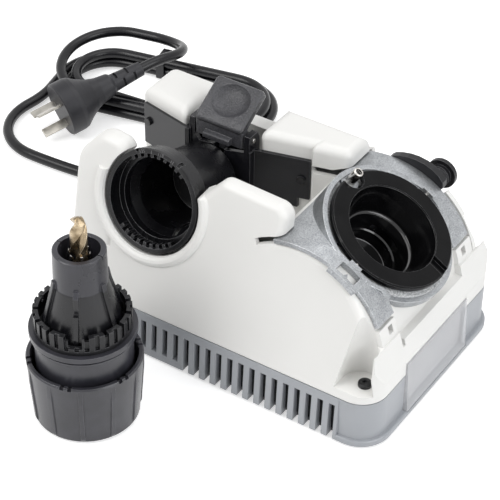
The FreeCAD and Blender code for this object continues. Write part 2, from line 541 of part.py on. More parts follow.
save("cam_pin", tube_place(pin.cut(cyl(BOSS + (ARCH_R + 5.7,), (0, 0, 1), 2.0, 4))))
pins = [tube_place(cyl((0, sy * 34.5, PIVOT_H), (0, sy, 0), 1.2, 11.5)) for sy in (-1, 1)]
save("tube_pivot_pins", Part.makeCompound(pins))
seal = tube_place(ring((0, 0, SEAL_H), (0, 0, 1), 33.6, COLLAR_IN,
    7.8)).cut(drum(ARCH_R - PLATE_T + 0.2)).cut(tube_place(cyl(BOSS + (20,), (0, 0, 1), 6.0, ARCH_R)))
save("dust_seal", seal)

# Angle lock: curved arm behind the plate, and the knob that nips it
LOCK_A, LOCK_R = 61.5, ARCH_R - 2.8
LOCK_P = (ARCH_X + LOCK_R * math.cos(rad(LOCK_A)), PLATE_Y1 + 1.8, ARCH_Z + LOCK_R * math.sin(rad(LOCK_A)))


def arm_at(r, a):
    return (ARCH_X + r * math.cos(rad(a)), ARCH_Z + r * math.sin(rad(a)))


ARM = [(55.0, 2.0), (57.0, 4.6), (61.0, 6.1), (66.0, 6.6), (71.0, 6.4), (76.0, 5.6), (81.0, 4.2), (86.0,
    2.4),
    (90.0, 0.6), (92.0, -1.0)]
inside = [arm_at(ARCH_R - 4.5, a) for a in (91.0, 86.0, 80.0, 74.0, 68.0, 62.0, 56.0)]
lock = prism([arm_at(ARCH_R + r, a) for a, r in ARM] + inside, "y", PLATE_Y1, PLATE_Y1 + 4.6)
lock = lock.cut(cyl((LOCK_P[0], LOCK_P[1] - 20, LOCK_P[2]), (0, 1, 0), 2.55, 40))
save("lock_bracket", lock)
knob = revolve([(0, -1.0), (2.5, -1.0), (2.5, 3.1), (6.8, 3.1), (6.8, 5.8), (6.0, 6.4), (6.0, 7.4), (6.8,
    8.0), (6.8, 10.6), (9.6, 10.6), (9.6, 13.4), (8.8, 14.2), (0, 14.2)])
knob.rotate(V(0, 0, 0), V(1, 0, 0), -90)
knob.translate(V(*LOCK_P))
save("lock_knob", knob)

# Sharpening tube
st = revolve([(TUBE_BORE, RIM_H), (RIM_R - 0.8, RIM_H), (RIM_R, RIM_H - 0.8), (RIM_R, RIM_H - 3.6), (32.6,
    RIM_H - 3.6), (32.6, RIM_H - 23.9), (21.0, RIM_H - 33.9), (21.0, RIM_H - 40.9), (17.0, RIM_H - 40.9),
    (17.8, RIM_H - 32.2), (18.8, RIM_H - 31.4), (19.4, RIM_H - 26.2), (21.2, RIM_H - 25.2), (21.6,
    RIM_H - 21.4), (22.0, RIM_H - 20.6), (23.0, RIM_H - 20.0), (TUBE_BORE, RIM_H - 15.9)])
st = st.cut(box(27, 42, 0.6, 7.6, RIM_H - 3.0, RIM_H + 2)).cut(cyl(BOSS + (RIM_H - 23.9,), (0, 0, 1), 7.0,
    30))
for sy in (-1, 1):
    st = st.cut(cyl((0, sy * 34.0, PIVOT_H), (0, sy, 0), 1.26, 10))
save("sharpening_tube", tube_place(st))

# Motor, shaft and grinding wheel
mc = (MOT_X0, MOT_Y, MOT_Z)
can = cyl(mc, (1, 0, 0), MOTOR_R, MOT_X1 - MOT_X0).cut(cyl((MOT_X0 + 2, MOT_Y, MOT_Z), (1, 0, 0),
    MOTOR_R - 1.6, MOT_X1 - MOT_X0)).cut(cyl((MOT_X0 - 1, MOT_Y, MOT_Z), (1, 0, 0), 6.0, 5))
save("motor_can", can)
cap = fuse([cyl((MOT_X1, MOT_Y, MOT_Z), (1, 0, 0), MOTOR_R, 3.0), cyl((MOT_X1 - 4, MOT_Y, MOT_Z), (1, 0, 0),
    MOTOR_R - 1.6, 4.0)]).cut(cyl((MOT_X1 - 8, MOT_Y, MOT_Z), (1, 0, 0), 6.0, 20))
save("motor_end_cap", cap)
bush = [ring((MOT_X0, MOT_Y, MOT_Z), (1, 0, 0), SHAFT_R + 0.04, 6.0, 4.0), ring((MOT_X1 - 4, MOT_Y, MOT_Z),
    (1, 0, 0), SHAFT_R + 0.04, 6.0, 8.5)]
save("motor_bearings", Part.makeCompound(bush))
shaft = cyl((MOT_X0 - 18, MOT_Y, MOT_Z), (1, 0, 0), SHAFT_R, 58 + 18 - MOT_X0)
arm = cyl((MOT_X0 + 8, MOT_Y, MOT_Z), (1, 0, 0), MOTOR_R - 4.0, MOT_X1 - MOT_X0 - 16).cut(cyl((MOT_X0,
    MOT_Y, MOT_Z), (1, 0, 0), SHAFT_R, 90))
for k in range(8):
    g = box(MOT_X0, MOT_X1, -1.4, 1.4, MOTOR_R - 7.5, MOTOR_R)
    g.rotate(V(0, 0, 0), V(1, 0, 0), 45 * k)
    g.translate(V(0, MOT_Y, MOT_Z))
    arm = arm.cut(g)
save("motor_shaft", shaft)
save("motor_armature", arm)
WX = ARCH_X - WHEEL_W / 2
wheel = ring((WX, MOT_Y, MOT_Z), (1, 0, 0), SHAFT_R, WHEEL_R, WHEEL_W)
save("diamond_wheel", wheel)
fan = ring((MOT_X0 - 15, MOT_Y, MOT_Z), (1, 0, 0), SHAFT_R, 6.0, 10.0)
blades = []
for k in range(9):
    bl = box(-14.0, -6.5, -0.8, 0.8, 5.0, 18.0)
    bl.rotate(V(-10, 0, 0), V(0, 0, 1), 24)
    bl.rotate(V(0, 0, 0), V(1, 0, 0), 40 * k)
    bl.translate(V(MOT_X0, MOT_Y, MOT_Z))
    blades.append(bl)
save("cooling_fan", fuse([fan] + blades).cut(cyl((MOT_X0 - 30, MOT_Y, MOT_Z), (1, 0, 0), SHAFT_R, 40)))
straps = []
for xr in (MOT_X0 + 9, MOT_X1 - 11):
    band = ring((xr, MOT_Y, MOT_Z), (1, 0, 0), MOTOR_R, MOTOR_R + 1.5, 4.0).common(box(xr - 1, xr + 5, -30,
        30, MOT_Z - 2, 80))
    tabs = box(xr, xr + 4, -24, 24, MOT_Z - 2, MOT_Z - 0.5).cut(cyl((xr - 1, MOT_Y, MOT_Z), (1, 0, 0),
        MOTOR_R, 6))
    straps.append(fuse([band, tabs]))
save("motor_straps", Part.makeCompound(straps))

# Clear debris tray
tr = box(64.0, BX + 0.4, TRAY_Y0, TRAY_Y1, FOOT_H + 2.7, 30.0)
tr = tr.cut(box(66.0, BX - 1.6, TRAY_Y0 + 2, TRAY_Y1 - 2, FOOT_H + 4.7, 40.0))
face = prism([(BX - 1.6, FOOT_H + 2.7), (BX + 2.6, FOOT_H + 2.7), (BX + 1.0, 40.2), (BX - 1.6, 40.2)], "y",
    TRAY_Y0, TRAY_Y1)
save("debris_tray", fuse([tr, face]))

# Rocker switch in the rear wall
sw = fuse([box(SWITCH_X - 9.4, SWITCH_X + 9.4, BY - 16, BY + 1.5, SWITCH_Z - 5.9, SWITCH_Z + 5.9),
    box(SWITCH_X - 11.5, SWITCH_X + 11.5, BY + 1.5, BY + 3.0, SWITCH_Z - 8.0, SWITCH_Z + 8.0)])
sw = sw.cut(box(SWITCH_X - 8.0, SWITCH_X + 8.0, BY - 6, BY + 5, SWITCH_Z - 4.6, SWITCH_Z + 4.6))
save("switch_body", sw)
rk = prism([(SWITCH_X - 7.15, BY - 1.0), (SWITCH_X, BY - 3.2), (SWITCH_X + 7.15, BY - 1.0), (SWITCH_X + 7.15,
    BY + 5.2, 0.8), (SWITCH_X, BY + 3.4), (SWITCH_X - 7.15, BY + 3.2, 0.8)], "z", SWITCH_Z - 4.3,
    SWITCH_Z + 4.3)
save("switch_rocker", rk)


# Chuck: knob, sleeve with flange, castellated collar, nose, jaws and a drill bit
kn = revolve([(KNOB_FOOT_R - 1.6, 0), (KNOB_FOOT_R, 1.6), (KNOB_R, KNOB_H - 1.0), (KNOB_R - 0.6, KNOB_H),
    (31.4, KNOB_H), (30.4, 40.0), (29.3, 9.0), (10.06, 9.0), (10.06, 0)])
cuts = []
for k in range(11):
    a = 360.0 / 11 * k + 8
    g = prism([(-0.9, 0), (0.9, 0), (0.25, -1.5), (-0.25, -1.5)], "z", -1, 41.5)
    g.rotate(V(0, 0, 0), V(0, 0, 1), -90)
    g.rotate(V(0, 0, 0), V(0, 1, 0), math.degrees(math.atan2(KNOB_R - KNOB_FOOT_R, KNOB_H)))
    g.translate(V(KNOB_FOOT_R + 0.5, 0, 0))
    g.rotate(V(0, 0, 0), V(0, 0, 1), a)
    cuts.append(g)
for k in range(6):
    for d in (-4.0, 4.0):
        g = box(31.0, 36, -1.2, 1.2, KNOB_H - 1.8, KNOB_H + 1)
        g.rotate(V(0, 0, 0), V(0, 0, 1), 60 * k + d - 72)
        cuts.append(g)
save("chuck_knob", chuck_place(kn.cut(Part.makeCompound(cuts))))
FLANGE_Z = 61.0
sl = revolve([(5.4, 2.0), (10.0, 2.0), (10.0, 9.3), (28.4, 13.0), (28.4, 57.6), (30.0, 57.6), (30.0, 59.0),
    (28.9, 59.4), (28.9, FLANGE_Z), (31.2, FLANGE_Z), (31.2, 64.3), (22.0, 64.3), (22.0, 60.0),
              (25.6, 56.0), (25.6, 17.0), (10.0, 14.0), (5.4, 14.0)])
save("chuck_sleeve", chuck_place(sl))
col = ring((0, 0, 64.3), (0, 0, 1), 25.0, 28.3, 12.3)
cuts = []
for k in range(30):
    g = box(26.6, 30, -1.35, 1.35, 67.2, 80)
    g.rotate(V(0, 0, 0), V(0, 0, 1), 12 * k)
    cuts.append(g)
    if k % 2 == 0:
        g = box(24, 30, -1.35, 1.35, 73.2, 80)
        g.rotate(V(0, 0, 0), V(0, 0, 1), 12 * k)
        cuts.append(g)
col = col.cut(Part.makeCompound(cuts))
for a in (-62, 118):
    g = box(23, 31, -4.2, 4.2, 69.0, 80)
    g.rotate(V(0, 0, 0), V(0, 0, 1), a)
    col = col.cut(g)
save("chuck_collar", chuck_place(col))
no = revolve([(24.4, 64.3), (24.4, 66.5), (23.5, 66.5), (15.9, 95.7), (15.6, 96.4), (NOSE_R, NOSE_Z - 0.5),
    (NOSE_R - 0.5, NOSE_Z), (12.0, NOSE_Z), (12.0, 84.0), (6.9, 84.0), (6.9, 78.0), (20.5, 68.0), (20.5,
    64.3)])
ribs = []
for k in range(6):
    h0 = 3.4 if k == 0 else 2.0
    rb = prism([(14.6, 100.5), (15.9 + 0.8, 100.5), (15.9 + h0, 94.0), (23.5 + 0.6, 72.0), (24.0, 66.5),
        (22.2, 66.5)], "y", -1.5, 1.5)
    if k == 0:
        rb = rb.cut(box(18.2, 30, -5, 5, 86.0, 110))
    rb.rotate(V(0, 0, 0), V(0, 0, 1), 60 * k - 62)
    ribs.append(rb)
no = fuse([no] + ribs)
for a in (5, 185):
    no = no.cut(turned(box(11, 17, -0.45, 0.45, NOSE_Z - 2.5, NOSE_Z + 1), (0, 0, 1), a, (0, 0, 0)))
save("chuck_nose", chuck_place(no))
for k in range(6):
    jw = prism([(5.15, 84.1), (7.8, 84.1), (7.2, 114.6), (6.2, 117.0), (5.15, 115.2)], "y", -0.8, 0.8)
    jw.rotate(V(0, 0, 0), V(0, 0, 1), 60 * k + 20)
    save("chuck_jaw_%d" % (k + 1), chuck_place(jw))
cone_h = BIT_R / math.tan(rad(TILT))
bit = fuse([cyl((0, 0, 10.0), (0, 0, 1), BIT_R, BIT_TOP - cone_h - 10.0), cone((0, 0, BIT_TOP - cone_h), (0,
    0, 1), BIT_R, 0.35, cone_h)])
TWIST = 46.0
for k in range(2):
    hx = Part.makeHelix(TWIST, 62.0, BIT_R + 0.35)
    hx.translate(V(0, 0, 88.0))
    prof = Part.Wire([Part.makeCircle(3.15, V(BIT_R + 0.35, 0, 88.0), V(0, 1,
        TWIST / (2 * math.pi * (BIT_R + 0.35))))])
    fl = Part.Wire(hx.Edges).makePipeShell([prof], True, True)
    fl.rotate(V(0, 0, 0), V(0, 0, 1), 180 * k + 30)
    bit = bit.cut(fl)
save("drill_bit", chuck_place(bit))


# Mains lead: strain relief, run on the table, hank, tail and plug
def length_of(edges):
    return sum(e.Length for e in edges)


def sweep(edges, r, label):
    w = Part.Wire(edges)
    p, t = edges[0].valueAt(edges[0].FirstParameter), edges[0].tangentAt(edges[0].FirstParameter)
    tube = w.makePipeShell([Part.Wire([Part.makeCircle(r, p, t)])], True, False)
    want = math.pi * r * r * length_of(edges)
    print("%s: length %.1f volume over section x length %.4f" % (label, length_of(edges),
        tube.Volume / want))
    return tube


def route_edges(pts, label):
    """straight runs joined by tangent arcs as large as the runs allow"""
    p = [V(*q) for q in pts]
    edges, at, radii = [], p[0], []
    for i in range(1, len(p) - 1):
        u, w = p[i] - p[i - 1], p[i + 1] - p[i]
        t = 0.45 * min(u.Length, w.Length)
        u.normalize()
        w.normalize()
        turn = u.getAngle(w)
        r = t / math.tan(turn / 2)
        s, e = p[i] - u * t, p[i] + w * t
        b = w - u
        b.normalize()
        m = p[i] + b * (r / math.cos(turn / 2) - r)
        edges.append(Part.LineSegment(at, s).toShape())
        edges.append(Part.Arc(s, m, e).toShape())
        radii.append("%.0f" % r)
        at = e
    edges.append(Part.LineSegment(at, p[-1]).toShape())
    print(label, "radii", " ".join(radii),
        "in diameters, least %.1f" % (min(float(x) for x in radii) / CORD_D))
    return edges


CR = CORD_D / 2
EXIT_X = -135.0
sr = revolve([(CR, 0), (5.0, 0), (5.0, 5.6), (7.4, 5.6), (7.4, 8.2), (6.3, 8.8), (4.9, 32.0), (CR, 32.0)])
for k in range(5):
    zc = 14.0 + 3.4 * k
    for a in (0, 180):
        g = box(CR + 0.5, 9, -3.2, 3.2, zc, zc + 1.5)
        g.rotate(V(0, 0, 0), V(0, 0, 1), a + 90 * (k % 2))
        sr = sr.cut(g)
sr.rotate(V(0, 0, 0), V(0, 1, 0), -90)
sr.translate(V(EXIT_X + 32.0, EXIT_Y, EXIT_Z))
save("strain_relief", sr)

HANK_X, HANK_Y, HANK_A = -196.0, 158.0, 12.0
RUN_A = 44.0
LAYER = CORD_D + 0.5
Z1 = CR + 1.0
Z2, Z3 = Z1 + LAYER, Z1 + 2 * LAYER


def hank(x, y, z):
    c, q = math.cos(rad(HANK_A)), math.sin(rad(HANK_A))
    return (HANK_X + x * c - y * q, HANK_Y + x * q + y * c, z)


def heading(a):
    return (math.cos(rad(a)), math.sin(rad(a)))


start = hank(-RUN_A - 38, -10.0, Z1)
route = [start]
h = 90.0 + HANK_A
for run, turn in ((24.0, -24.0), (26.0, 34.0), (24.0, 34.0), (24.0, 34.0), (26.0, 4.0)):
    d = heading(h)
    route.append((route[-1][0] - d[0] * run, route[-1][1] - d[1] * run, CR + 0.05))
    h += turn
route[1] = (route[1][0], route[1][1], Z1)
lead_pts = [(EXIT_X, EXIT_Y, EXIT_Z), (-149.0, EXIT_Y - 0.3, 13.2), (-166.0, EXIT_Y - 1.2, 7.6), (-188.0,
    EXIT_Y - 3.0, 3.9)] + route[::-1]
lead = route_edges(lead_pts, "lead")
save("cord_lead", sweep(lead, CR, "lead"))


def line(a, b):
    return Part.LineSegment(V(*hank(*a)), V(*hank(*b))).toShape()


def arc(a, m, b):
    return Part.Arc(V(*hank(*a)), V(*hank(*m)), V(*hank(*b))).toShape()


def half(side, y0, y1, z0, z1):
    """half turn round an end, in a plane that climbs from z0 to z1"""
    x = side * RUN_A
    r = math.sqrt((y1 - y0) ** 2 + (z1 - z0) ** 2) / 2
    return arc((x, y0, z0), (x + side * r, (y0 + y1) / 2, (z0 + z1) / 2), (x, y1, z1))


def run_of(y, z, sgn):
    return line((-sgn * RUN_A, y, z), (sgn * RUN_A, y, z))


def climb(y, z0, z1, sgn):
    """run that climbs a layer on two arcs"""
    ll, hh = 2 * RUN_A, z1 - z0
    r = (ll * ll + hh * hh) / (4 * hh)
    x0 = -sgn * RUN_A
    a = math.asin(ll / 2 / r) / 2
    m1 = (x0 + sgn * r * math.sin(a), y, z0 + r * (1 - math.cos(a)))
    m2 = (-m1[0], y, z1 - r * (1 - math.cos(a)))
    mid = (0.0, y, (z0 + z1) / 2)
    return [arc((x0, y, z0), m1, mid), arc(mid, m2, (-x0, y, z1))]


TAIL_X, FAR = -RUN_A + CORD_D + 1.0, 46.0
Q = 38 * math.sqrt(0.5)
turns = [line((-RUN_A - 38, -10, Z1), (-RUN_A - 38, -2, Z1)), arc((-RUN_A - 38, -2, Z1), (-RUN_A - Q, Q - 2,
    Z1), (-RUN_A, 36, Z1))]
turns += [run_of(36, Z1, 1), half(1, 36, -32, Z1, Z1), run_of(-32, Z1, -1), half(-1, -32, 28, Z1, Z1),
    run_of(28, Z1, 1), half(1, 28, -24, Z1, Z1)]
turns += climb(-24, Z1, Z2, -1)
turns += [half(-1, -24, 28, Z2, Z2), run_of(28, Z2, 1), half(1, 28, -32, Z2, Z2), run_of(-32, Z2, -1),
    half(-1, -32, FAR, Z2, Z3)]
turns += [line((-RUN_A, FAR, Z3), (TAIL_X, FAR, Z3))]
save("cord_hank", sweep(turns, CR, "hank"))
marks, run_at, total = [], [], 0.0
for e in turns:
    n = max(2, int(e.Length / 2))
    for k in range(n):
        marks.append(e.valueAt(e.FirstParameter + (e.LastParameter - e.FirstParameter) * k / n))
        run_at.append(total + e.Length * k / n)
    total += e.Length
least = min((marks[i] - marks[j]).Length for i in range(0, len(marks), 2) for j in range(i + 1,
    len(marks)) if run_at[j] - run_at[i] > 40)
print("hank least gap to itself %.2f" % (least - CORD_D))

# plug lying on the hank, pins towards the front left
PLUG = (-231.0, 89.5, 20.7)
PLUG_H, PLUG_UP = 63.4, 13.0
NECK_L = 58.0


def plug_place(shape):
    """local Z from the pins to the neck"""
    s = shape.copy()
    s.rotate(V(0, 0, 0), V(0, 1, 0), 90.0 - PLUG_UP)
    s.rotate(V(0, 0, 0), V(0, 0, 1), PLUG_H)
    s.translate(V(*PLUG))
    return s


def plug_point(t):
    d = heading(PLUG_H)
    c = math.cos(rad(PLUG_UP))
    return (PLUG[0] + d[0] * c * t, PLUG[1] + d[1] * c * t, PLUG[2] + math.sin(rad(PLUG_UP)) * t)


neck = plug_point(NECK_L)
tail_pts = [hank(TAIL_X, FAR, Z3), hank(TAIL_X + 11.9, FAR, Z3), hank(-7.7, 39.8, 22.9), hank(2.3, 27.0,
    28.8),
            hank(3.4, 10.4, 33.8), plug_point(NECK_L + 13.1), neck]
tail = route_edges(tail_pts, "tail")
save("cord_tail", sweep(tail, CR, "tail"))
print("cord length from the exit %.0f" % (length_of(lead) + length_of(turns) + length_of(tail)))
body = revolve([(0, -7.0), (18.6, -7.0), (19.5, -6.0), (19.5, 3.0), (18.8, 6.0), (14.6, 12.0), (11.4, 18.0),
    (9.4, 24.0), (8.2, 33.0), (6.6, 35.0), (5.2, NECK_L), (0, NECK_L)])
for k in range(4):
    for a in (0, 180):
        g = box(3.9, 12, -3.6, 3.6, 37.0 + 4.4 * k, 38.8 + 4.4 * k)
        g.rotate(V(0, 0, 0), V(0, 0, 1), a + 90 * (k % 2))
        body = body.cut(g)
pins = []
for (px, py, a) in ((7.9, -4.5, 30), (-7.9, -4.5, -30), (0, 9.4, 0)):
    pn = box(-0.85, 0.85, -3.15, 3.15, -25.0, -3.0)
    pn.rotate(V(0, 0, 0), V(0, 0, 1), a)
    pn.translate(V(px, py, 0))
    pins.append(pn)
pins = Part.makeCompound(pins)
save("plug_body", plug_place(body.cut(pins)))
save("plug_pins", plug_place(pins))
tie_o = [(23.2, 0.05, 2.5), (40.6, 0.05, 2.5), (40.6, Z2 + CR + 1.1, 2.5), (23.2, Z2 + CR + 1.1, 2.5)]
tie_i = [(24.0, 0.85, 1.8), (39.8, 0.85, 1.8), (39.8, Z2 + CR + 0.3, 1.8), (24.0, Z2 + CR + 0.3, 1.8)]
tie = prism(tie_o, "x", -19.0, -13.0).cut(prism(tie_i, "x", -20.0, -12.0))
tie.rotate(V(0, 0, 0), V(0, 0, 1), HANK_A)
tie.translate(V(HANK_X, HANK_Y, 0))
save("cord_tie", tie)

print("NODES", len(NODES))
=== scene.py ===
# %% [markdown]
# # Bench drill bit sharpener with its chuck
# The imported model holds every hard piece of the machine at its real size. This lesson dresses it: the camera
# first, then the light and the finishes. After that come the pieces that are drawn here: the lining of the
# sharpening tube, the thumb rest, a web that shuts off the view inside, a black sheet of painted shade behind
# the vents, the ribs of the chuck's knob, the figures on the port, and the mains lead.

# %% Load the frame
import json
import math
import bpy
import numpy as np
from mathutils import Matrix, Vector


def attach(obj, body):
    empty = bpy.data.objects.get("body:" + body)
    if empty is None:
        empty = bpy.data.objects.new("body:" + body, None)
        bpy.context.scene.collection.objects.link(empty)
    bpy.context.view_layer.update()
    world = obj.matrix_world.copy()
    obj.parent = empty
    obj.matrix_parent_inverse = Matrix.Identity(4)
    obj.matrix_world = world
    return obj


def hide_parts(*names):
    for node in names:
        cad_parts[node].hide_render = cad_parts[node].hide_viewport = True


MM = 0.001
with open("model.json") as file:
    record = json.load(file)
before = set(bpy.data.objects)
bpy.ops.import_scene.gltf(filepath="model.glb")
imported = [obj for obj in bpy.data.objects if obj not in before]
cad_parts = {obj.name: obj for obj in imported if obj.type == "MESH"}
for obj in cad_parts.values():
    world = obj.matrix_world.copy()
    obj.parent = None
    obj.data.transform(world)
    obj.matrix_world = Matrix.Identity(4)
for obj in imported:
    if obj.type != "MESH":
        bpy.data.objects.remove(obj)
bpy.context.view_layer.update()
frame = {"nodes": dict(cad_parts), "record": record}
nodes = frame["nodes"]
scene = bpy.context.scene

# %% [markdown]
# ## Camera
# The photograph was taken from the front right, well above the table, with a long lens. A camera could be
# aimed at an empty object, but then its roll is hard to set. A camera frame is three unit vectors: right, up
# and back. Azimuth and elevation give the back vector, and a small roll turns right and up about it.

# %% Camera
AZIMUTH, ELEVATION, ROLL = math.radians(32.63), math.radians(38.17), math.radians(0.88)
EYE = Vector((0.47744, -0.735335, 0.7698))
FOCAL_PIXELS, FRAME_PIXELS, SENSOR = 1916.8, 500.0, 36.0
NEAREST, FARTHEST = 0.05, 20.0


def camera_frame(azimuth, elevation, roll):
    """Right, up and back: back = (sin a cos e, -cos a cos e, sin e), right is level before the roll."""
    back = Vector((math.sin(azimuth) * math.cos(elevation), -math.cos(azimuth) * math.cos(elevation),
                   math.sin(elevation)))
    right = Vector((math.cos(azimuth), math.sin(azimuth), 0.0))
    up = back.cross(right)
    rolled = right * math.cos(roll) + up * math.sin(roll)
    return rolled, back.cross(rolled), back


lens = bpy.data.cameras.new("camera")
lens.sensor_fit, lens.sensor_width = "HORIZONTAL", SENSOR
lens.lens = SENSOR * FOCAL_PIXELS / FRAME_PIXELS
lens.clip_start, lens.clip_end = NEAREST, FARTHEST
camera = bpy.data.objects.new("camera", lens)
facing = Matrix(camera_frame(AZIMUTH, ELEVATION, ROLL)).transposed().to_4x4()
camera.matrix_world = Matrix.Translation(EYE) @ facing
scene.collection.objects.link(camera)
scene.camera = camera
print("lens %.1f mm, eye %s" % (lens.lens, tuple(round(c, 3) for c in EYE)))

# %% [markdown]
# ## Light
# A product table is lit by large soft boxes, so edges read by broad reflections and the shadows stay faint.
# Small lamps would draw hard shadows. Three square area lamps are enough: one from the front left, one from
# the right and one overhead, each turned so that its face looks at the machine.

# %% Light
SOFT_BOXES = [  # name, place, aim, size, watts, tint
    ("key", (-0.70, -0.95, 1.25), (0.0, 0.03, 0.05), 0.9, 12.8, (1.0, 0.995, 0.985)),
    ("fill", (1.30, -0.20, 0.80), (0.05, 0.03, 0.05), 0.9, 9.6, (0.97, 0.985, 1.0)),
    ("top", (0.1, 0.45, 1.5), (0.0, 0.05, 0.05), 1.2, 7.2, (1.0, 1.0, 1.0)),
]


def soft_box(name, place, aim, size, watts, tint):
    """A square area lamp at place that faces aim: its -Z axis runs along aim - place."""
    lamp = bpy.data.lights.new(name, "AREA")
    lamp.shape, lamp.size, lamp.energy, lamp.color = "SQUARE", size, watts, tint
    box = bpy.data.objects.new(name, lamp)
    box.location = place
    box.rotation_euler = (Vector(aim) - Vector(place)).to_track_quat("-Z", "Y").to_euler()
    scene.collection.objects.link(box)


scene.view_settings.view_transform = "Standard"
for box in SOFT_BOXES:
    soft_box(*box)
print("soft boxes:", len(SOFT_BOXES))

# %% [markdown]
# ## Room and table
# The table and the room are white for the eye, also in a mirror or through clear plastic, but they light the
# machine only mildly. A plain white room would wash out the forms, so the strength depends on the kind of ray.
# The table is painted matt and glows a little for the eye, and so keeps the shadow that the machine drops
# on it.

# %% Room and table
ROOM_LIGHT, ROOM_SEEN = 0.40, 1.0
TABLE_HALF, TABLE_DROP = 3.0, 0.0004
TABLE_WHITE, TABLE_GLOW = 0.86, 0.52


def seen_by_eye(tree):
    """1 for rays from the camera, from a mirror or through clear plastic, 0 for rays that only light: the
    maximum of the three kinds."""
    path = tree.nodes.new("ShaderNodeLightPath")
    first, second = tree.nodes.new("ShaderNodeMath"), tree.nodes.new("ShaderNodeMath")
    first.operation = second.operation = "MAXIMUM"
    tree.links.new(path.outputs["Is Camera Ray"], first.inputs[0])
    tree.links.new(path.outputs["Is Glossy Ray"], first.inputs[1])
    tree.links.new(first.outputs[0], second.inputs[0])
    tree.links.new(path.outputs["Is Transmission Ray"], second.inputs[1])
    return second.outputs[0]


def make_world():
    """Strength = ROOM_LIGHT for light, ROOM_SEEN for the eye."""
    world = bpy.data.worlds.new("studio")
    world.use_nodes = True
    tree = world.node_tree
    tree.nodes.clear()
    out = tree.nodes.new("ShaderNodeOutputWorld")
    background = tree.nodes.new("ShaderNodeBackground")
    level = tree.nodes.new("ShaderNodeMapRange")
    level.inputs["To Min"].default_value, level.inputs["To Max"].default_value = ROOM_LIGHT, ROOM_SEEN
    background.inputs["Color"].default_value = (1.0, 1.0, 1.0, 1.0)
    tree.links.new(seen_by_eye(tree), level.inputs["Value"])
    tree.links.new(level.outputs[0], background.inputs["Strength"])
    tree.links.new(background.outputs[0], out.inputs["Surface"])
    scene.world = world


def make_table():
    """A square just under the object. Its glow is for the eye only, so it lights nothing."""
    h = TABLE_HALF
    mesh = bpy.data.meshes.new("table")
    mesh.from_pydata([(-h, -h, 0), (h, -h, 0), (h, h, 0), (-h, h, 0)], [], [(0, 1, 2, 3)])
    table = bpy.data.objects.new("table", mesh)
    table.location.z = -TABLE_DROP
    scene.collection.objects.link(table)
    paint = bpy.data.materials.new("table_white")
    paint.use_nodes = True
    tree = paint.node_tree
    tree.nodes.clear()
    out = tree.nodes.new("ShaderNodeOutputMaterial")
    matt = tree.nodes.new("ShaderNodeBsdfDiffuse")
    matt.inputs["Color"].default_value = (TABLE_WHITE, TABLE_WHITE, TABLE_WHITE, 1.0)
    glow = tree.nodes.new("ShaderNodeEmission")
    share = tree.nodes.new("ShaderNodeMath")
    share.operation = "MULTIPLY"
    share.inputs[1].default_value = TABLE_GLOW
    both = tree.nodes.new("ShaderNodeAddShader")
    tree.links.new(seen_by_eye(tree), share.inputs[0])
    tree.links.new(share.outputs[0], glow.inputs["Strength"])
    tree.links.new(matt.outputs[0], both.inputs[0])
    tree.links.new(glow.outputs[0], both.inputs[1])
    tree.links.new(both.outputs[0], out.inputs["Surface"])
    mesh.materials.append(paint)


make_world()
make_table()
print("room and table are set")

# %% [markdown]
# ## Finishes
# Every moulding has a fine spark-eroded grain, so no plastic here is one flat colour. A finish is a shader
# with a colour that wanders a little between two tones, a roughness that wanders with it, and a bump. All of
# it reads Object coordinates, in metres, so a grain of 0.5 mm is the same size on every piece. Real edges are
# never sharp: a bevelled normal rounds them for the light. Where it leaves the flat normal the colour is made
# lighter and the finish smoother: partly wear, as handling polishes an edge first, and partly a painted
# highlight along the edge. A painted map could do the same, but would have to be made for each piece.

# %% A finish in two tones with worn edges and a painted edge highlight
TONE_FROM, TONE_TO = 0.36, 0.64
# Edge mask: where the bevelled normal leaves the flat one. The edge colour it mixes in is wear and a painted
# edge highlight.
EDGE_WEAR_AND_HIGHLIGHT_FROM, EDGE_WEAR_AND_HIGHLIGHT_TO = 0.985, 0.88
PATCH_FROM, PATCH_TO, PATCH_LEAST = 0.3, 0.7, 0.45
ROUGH_SWING, ROUGH_LEAST, EDGE_POLISH, EDGE_LIGHTER = 0.05, 0.02, 0.15, 1.25
BUMP_STRENGTH, SPECK_DETAIL, BEVEL_SAMPLES = 0.6, 2.0, 4


